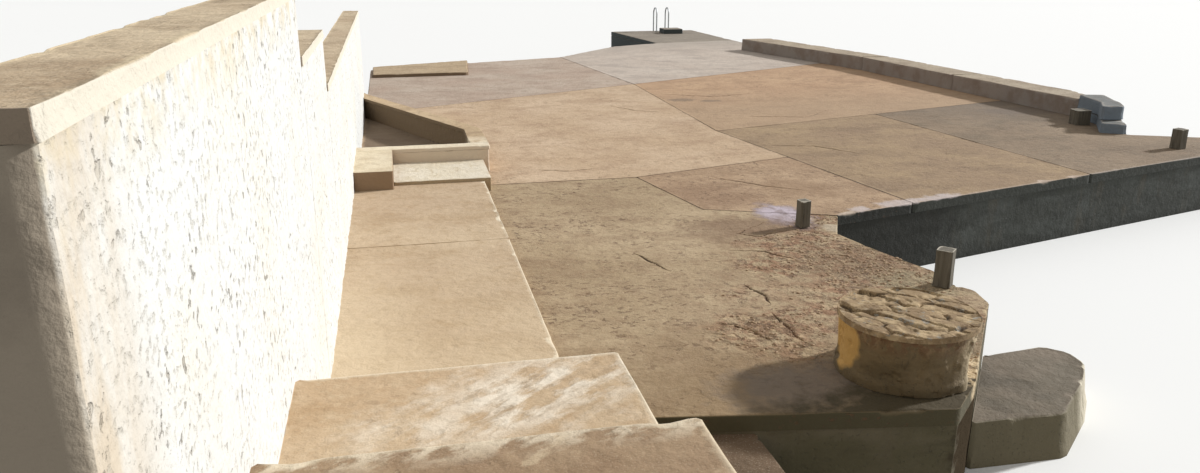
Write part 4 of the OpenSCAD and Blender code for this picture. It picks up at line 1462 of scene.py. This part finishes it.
# %% Gravel tree
PEBBLE_SHAPE = (1.0, 0.8, 0.55)
PEBBLE_TIP = 0.3
FULL_TURN = 6.28
gravel_tree, given = new_tree("exposed gravel", [
    ("Per square metre", "Float", 500.0), ("Smallest", "Float", 0.006), ("Largest", "Float", 0.022),
    ("Seed", "Int", 1), ("Stone", "Material", None)])
worn_here = add(gravel_tree, "GeometryNodeInputNamedAttribute", {"Name": "rough"}, data_type="FLOAT")
crowding = add(gravel_tree, "ShaderNodeMapRange",
               {"Value": worn_here.outputs[0], "From Min": 0.25, "From Max": 0.7})
density = add(gravel_tree, "ShaderNodeMath",
              {0: crowding.outputs[0], 1: given["Per square metre"]}, operation="MULTIPLY")
scatter = add(gravel_tree, "GeometryNodeDistributePointsOnFaces", {
    "Mesh": given["Geometry"], "Density": density.outputs[0], "Seed": given["Seed"]})
pebble = add(gravel_tree, "GeometryNodeMeshIcoSphere", {"Radius": 1.0, "Subdivisions": 1})
size = add(gravel_tree, "FunctionNodeRandomValue", {
    2: given["Smallest"], 3: given["Largest"], "Seed": given["Seed"]})
squash = add(gravel_tree, "ShaderNodeVectorMath", {0: PEBBLE_SHAPE, 1: size.outputs[1]}, operation="MULTIPLY")
spin = add(gravel_tree, "FunctionNodeRandomValue", {
    0: (-PEBBLE_TIP, -PEBBLE_TIP, 0.0), 1: (PEBBLE_TIP, PEBBLE_TIP, FULL_TURN), "Seed": 7},
    data_type="FLOAT_VECTOR")
laid = add(gravel_tree, "GeometryNodeInstanceOnPoints", {
    "Points": scatter.outputs["Points"], "Instance": pebble.outputs["Mesh"],
    "Rotation": spin.outputs[0], "Scale": squash.outputs[0]})
end_tree(gravel_tree, laid, given["Stone"])

GRAVEL = {"Per square metre": 300, "Smallest": 0.006, "Largest": 0.022, "Seed": 3, "Stone": gravel}
run_tree(gravel_tree, "slab_near_gravel", deck_pieces["slab_near"].data.copy(), GRAVEL)

# %% [markdown]
# ## Floor, sun and sky
# The floor is plain and pale, wide enough to fill the picture. It throws back less light
# than it seems to, so the faces of the quay stay as dark as in the photograph. The sun
# stands low on the right, as the photograph's shadows show, and a soft white sky fills the
# rest. Direct camera rays see plain white.

# %% Stage and light
FLOOR_HALF = 300.0
FLOOR_DROP = 0.001
FLOOR_SEEN, FLOOR_THROWN_BACK = "#F4F4F2", "#BCBCBA"
SUN_STRENGTH = 4.2
SUN_SPREAD = math.radians(4)
SKY_STRENGTH, SKY_SEEN = 0.42, 1.0
TO_SUN = Vector((0.877, 0.2025, 0.435))

floor_mesh = bpy.data.meshes.new("studio_floor")
floor_mesh.from_pydata([(x * FLOOR_HALF, y * FLOOR_HALF, -FLOOR_DROP)
                        for x, y in ((-1, -1), (1, -1), (1, 1), (-1, 1))], [], [(0, 1, 2, 3)])
floor = linked("studio_floor", floor_mesh)
pale_floor = surface("matt studio floor", FLOOR_THROWN_BACK, 1.0)
rays = add(pale_floor.node_tree, "ShaderNodeLightPath")
layer(pale_floor, rays.outputs["Is Camera Ray"], FLOOR_SEEN)
floor_mesh.materials.append(pale_floor)

sun_data = bpy.data.lights.new("low_sun", "SUN")
sun_data.energy = SUN_STRENGTH
sun_data.angle = SUN_SPREAD
sun = linked("low_sun", sun_data)
sun.rotation_euler = TO_SUN.to_track_quat("Z", "Y").to_euler()

world = bpy.data.worlds.new("soft_sky")
world.use_nodes = True
bpy.context.scene.world = world
sky = world.node_tree
background = sky.nodes["Background"]
rays = add(sky, "ShaderNodeLightPath")
direct = rays.outputs["Is Camera Ray"]
for other in ("Is Glossy Ray", "Is Transmission Ray"):
    direct = add(sky, "ShaderNodeMath", {0: direct, 1: rays.outputs[other]}, operation="MAXIMUM").outputs[0]
level = add(sky, "ShaderNodeMapRange", {"Value": direct, "To Min": SKY_STRENGTH, "To Max": SKY_SEEN})
sky.links.new(level.outputs[0], background.inputs["Strength"])
background.inputs["Color"].default_value = (1, 1, 1, 1)
bpy.context.scene.view_settings.view_transform = "Standard"
print("sun elevation:", round(math.degrees(math.asin(TO_SUN.normalized().z)), 1))
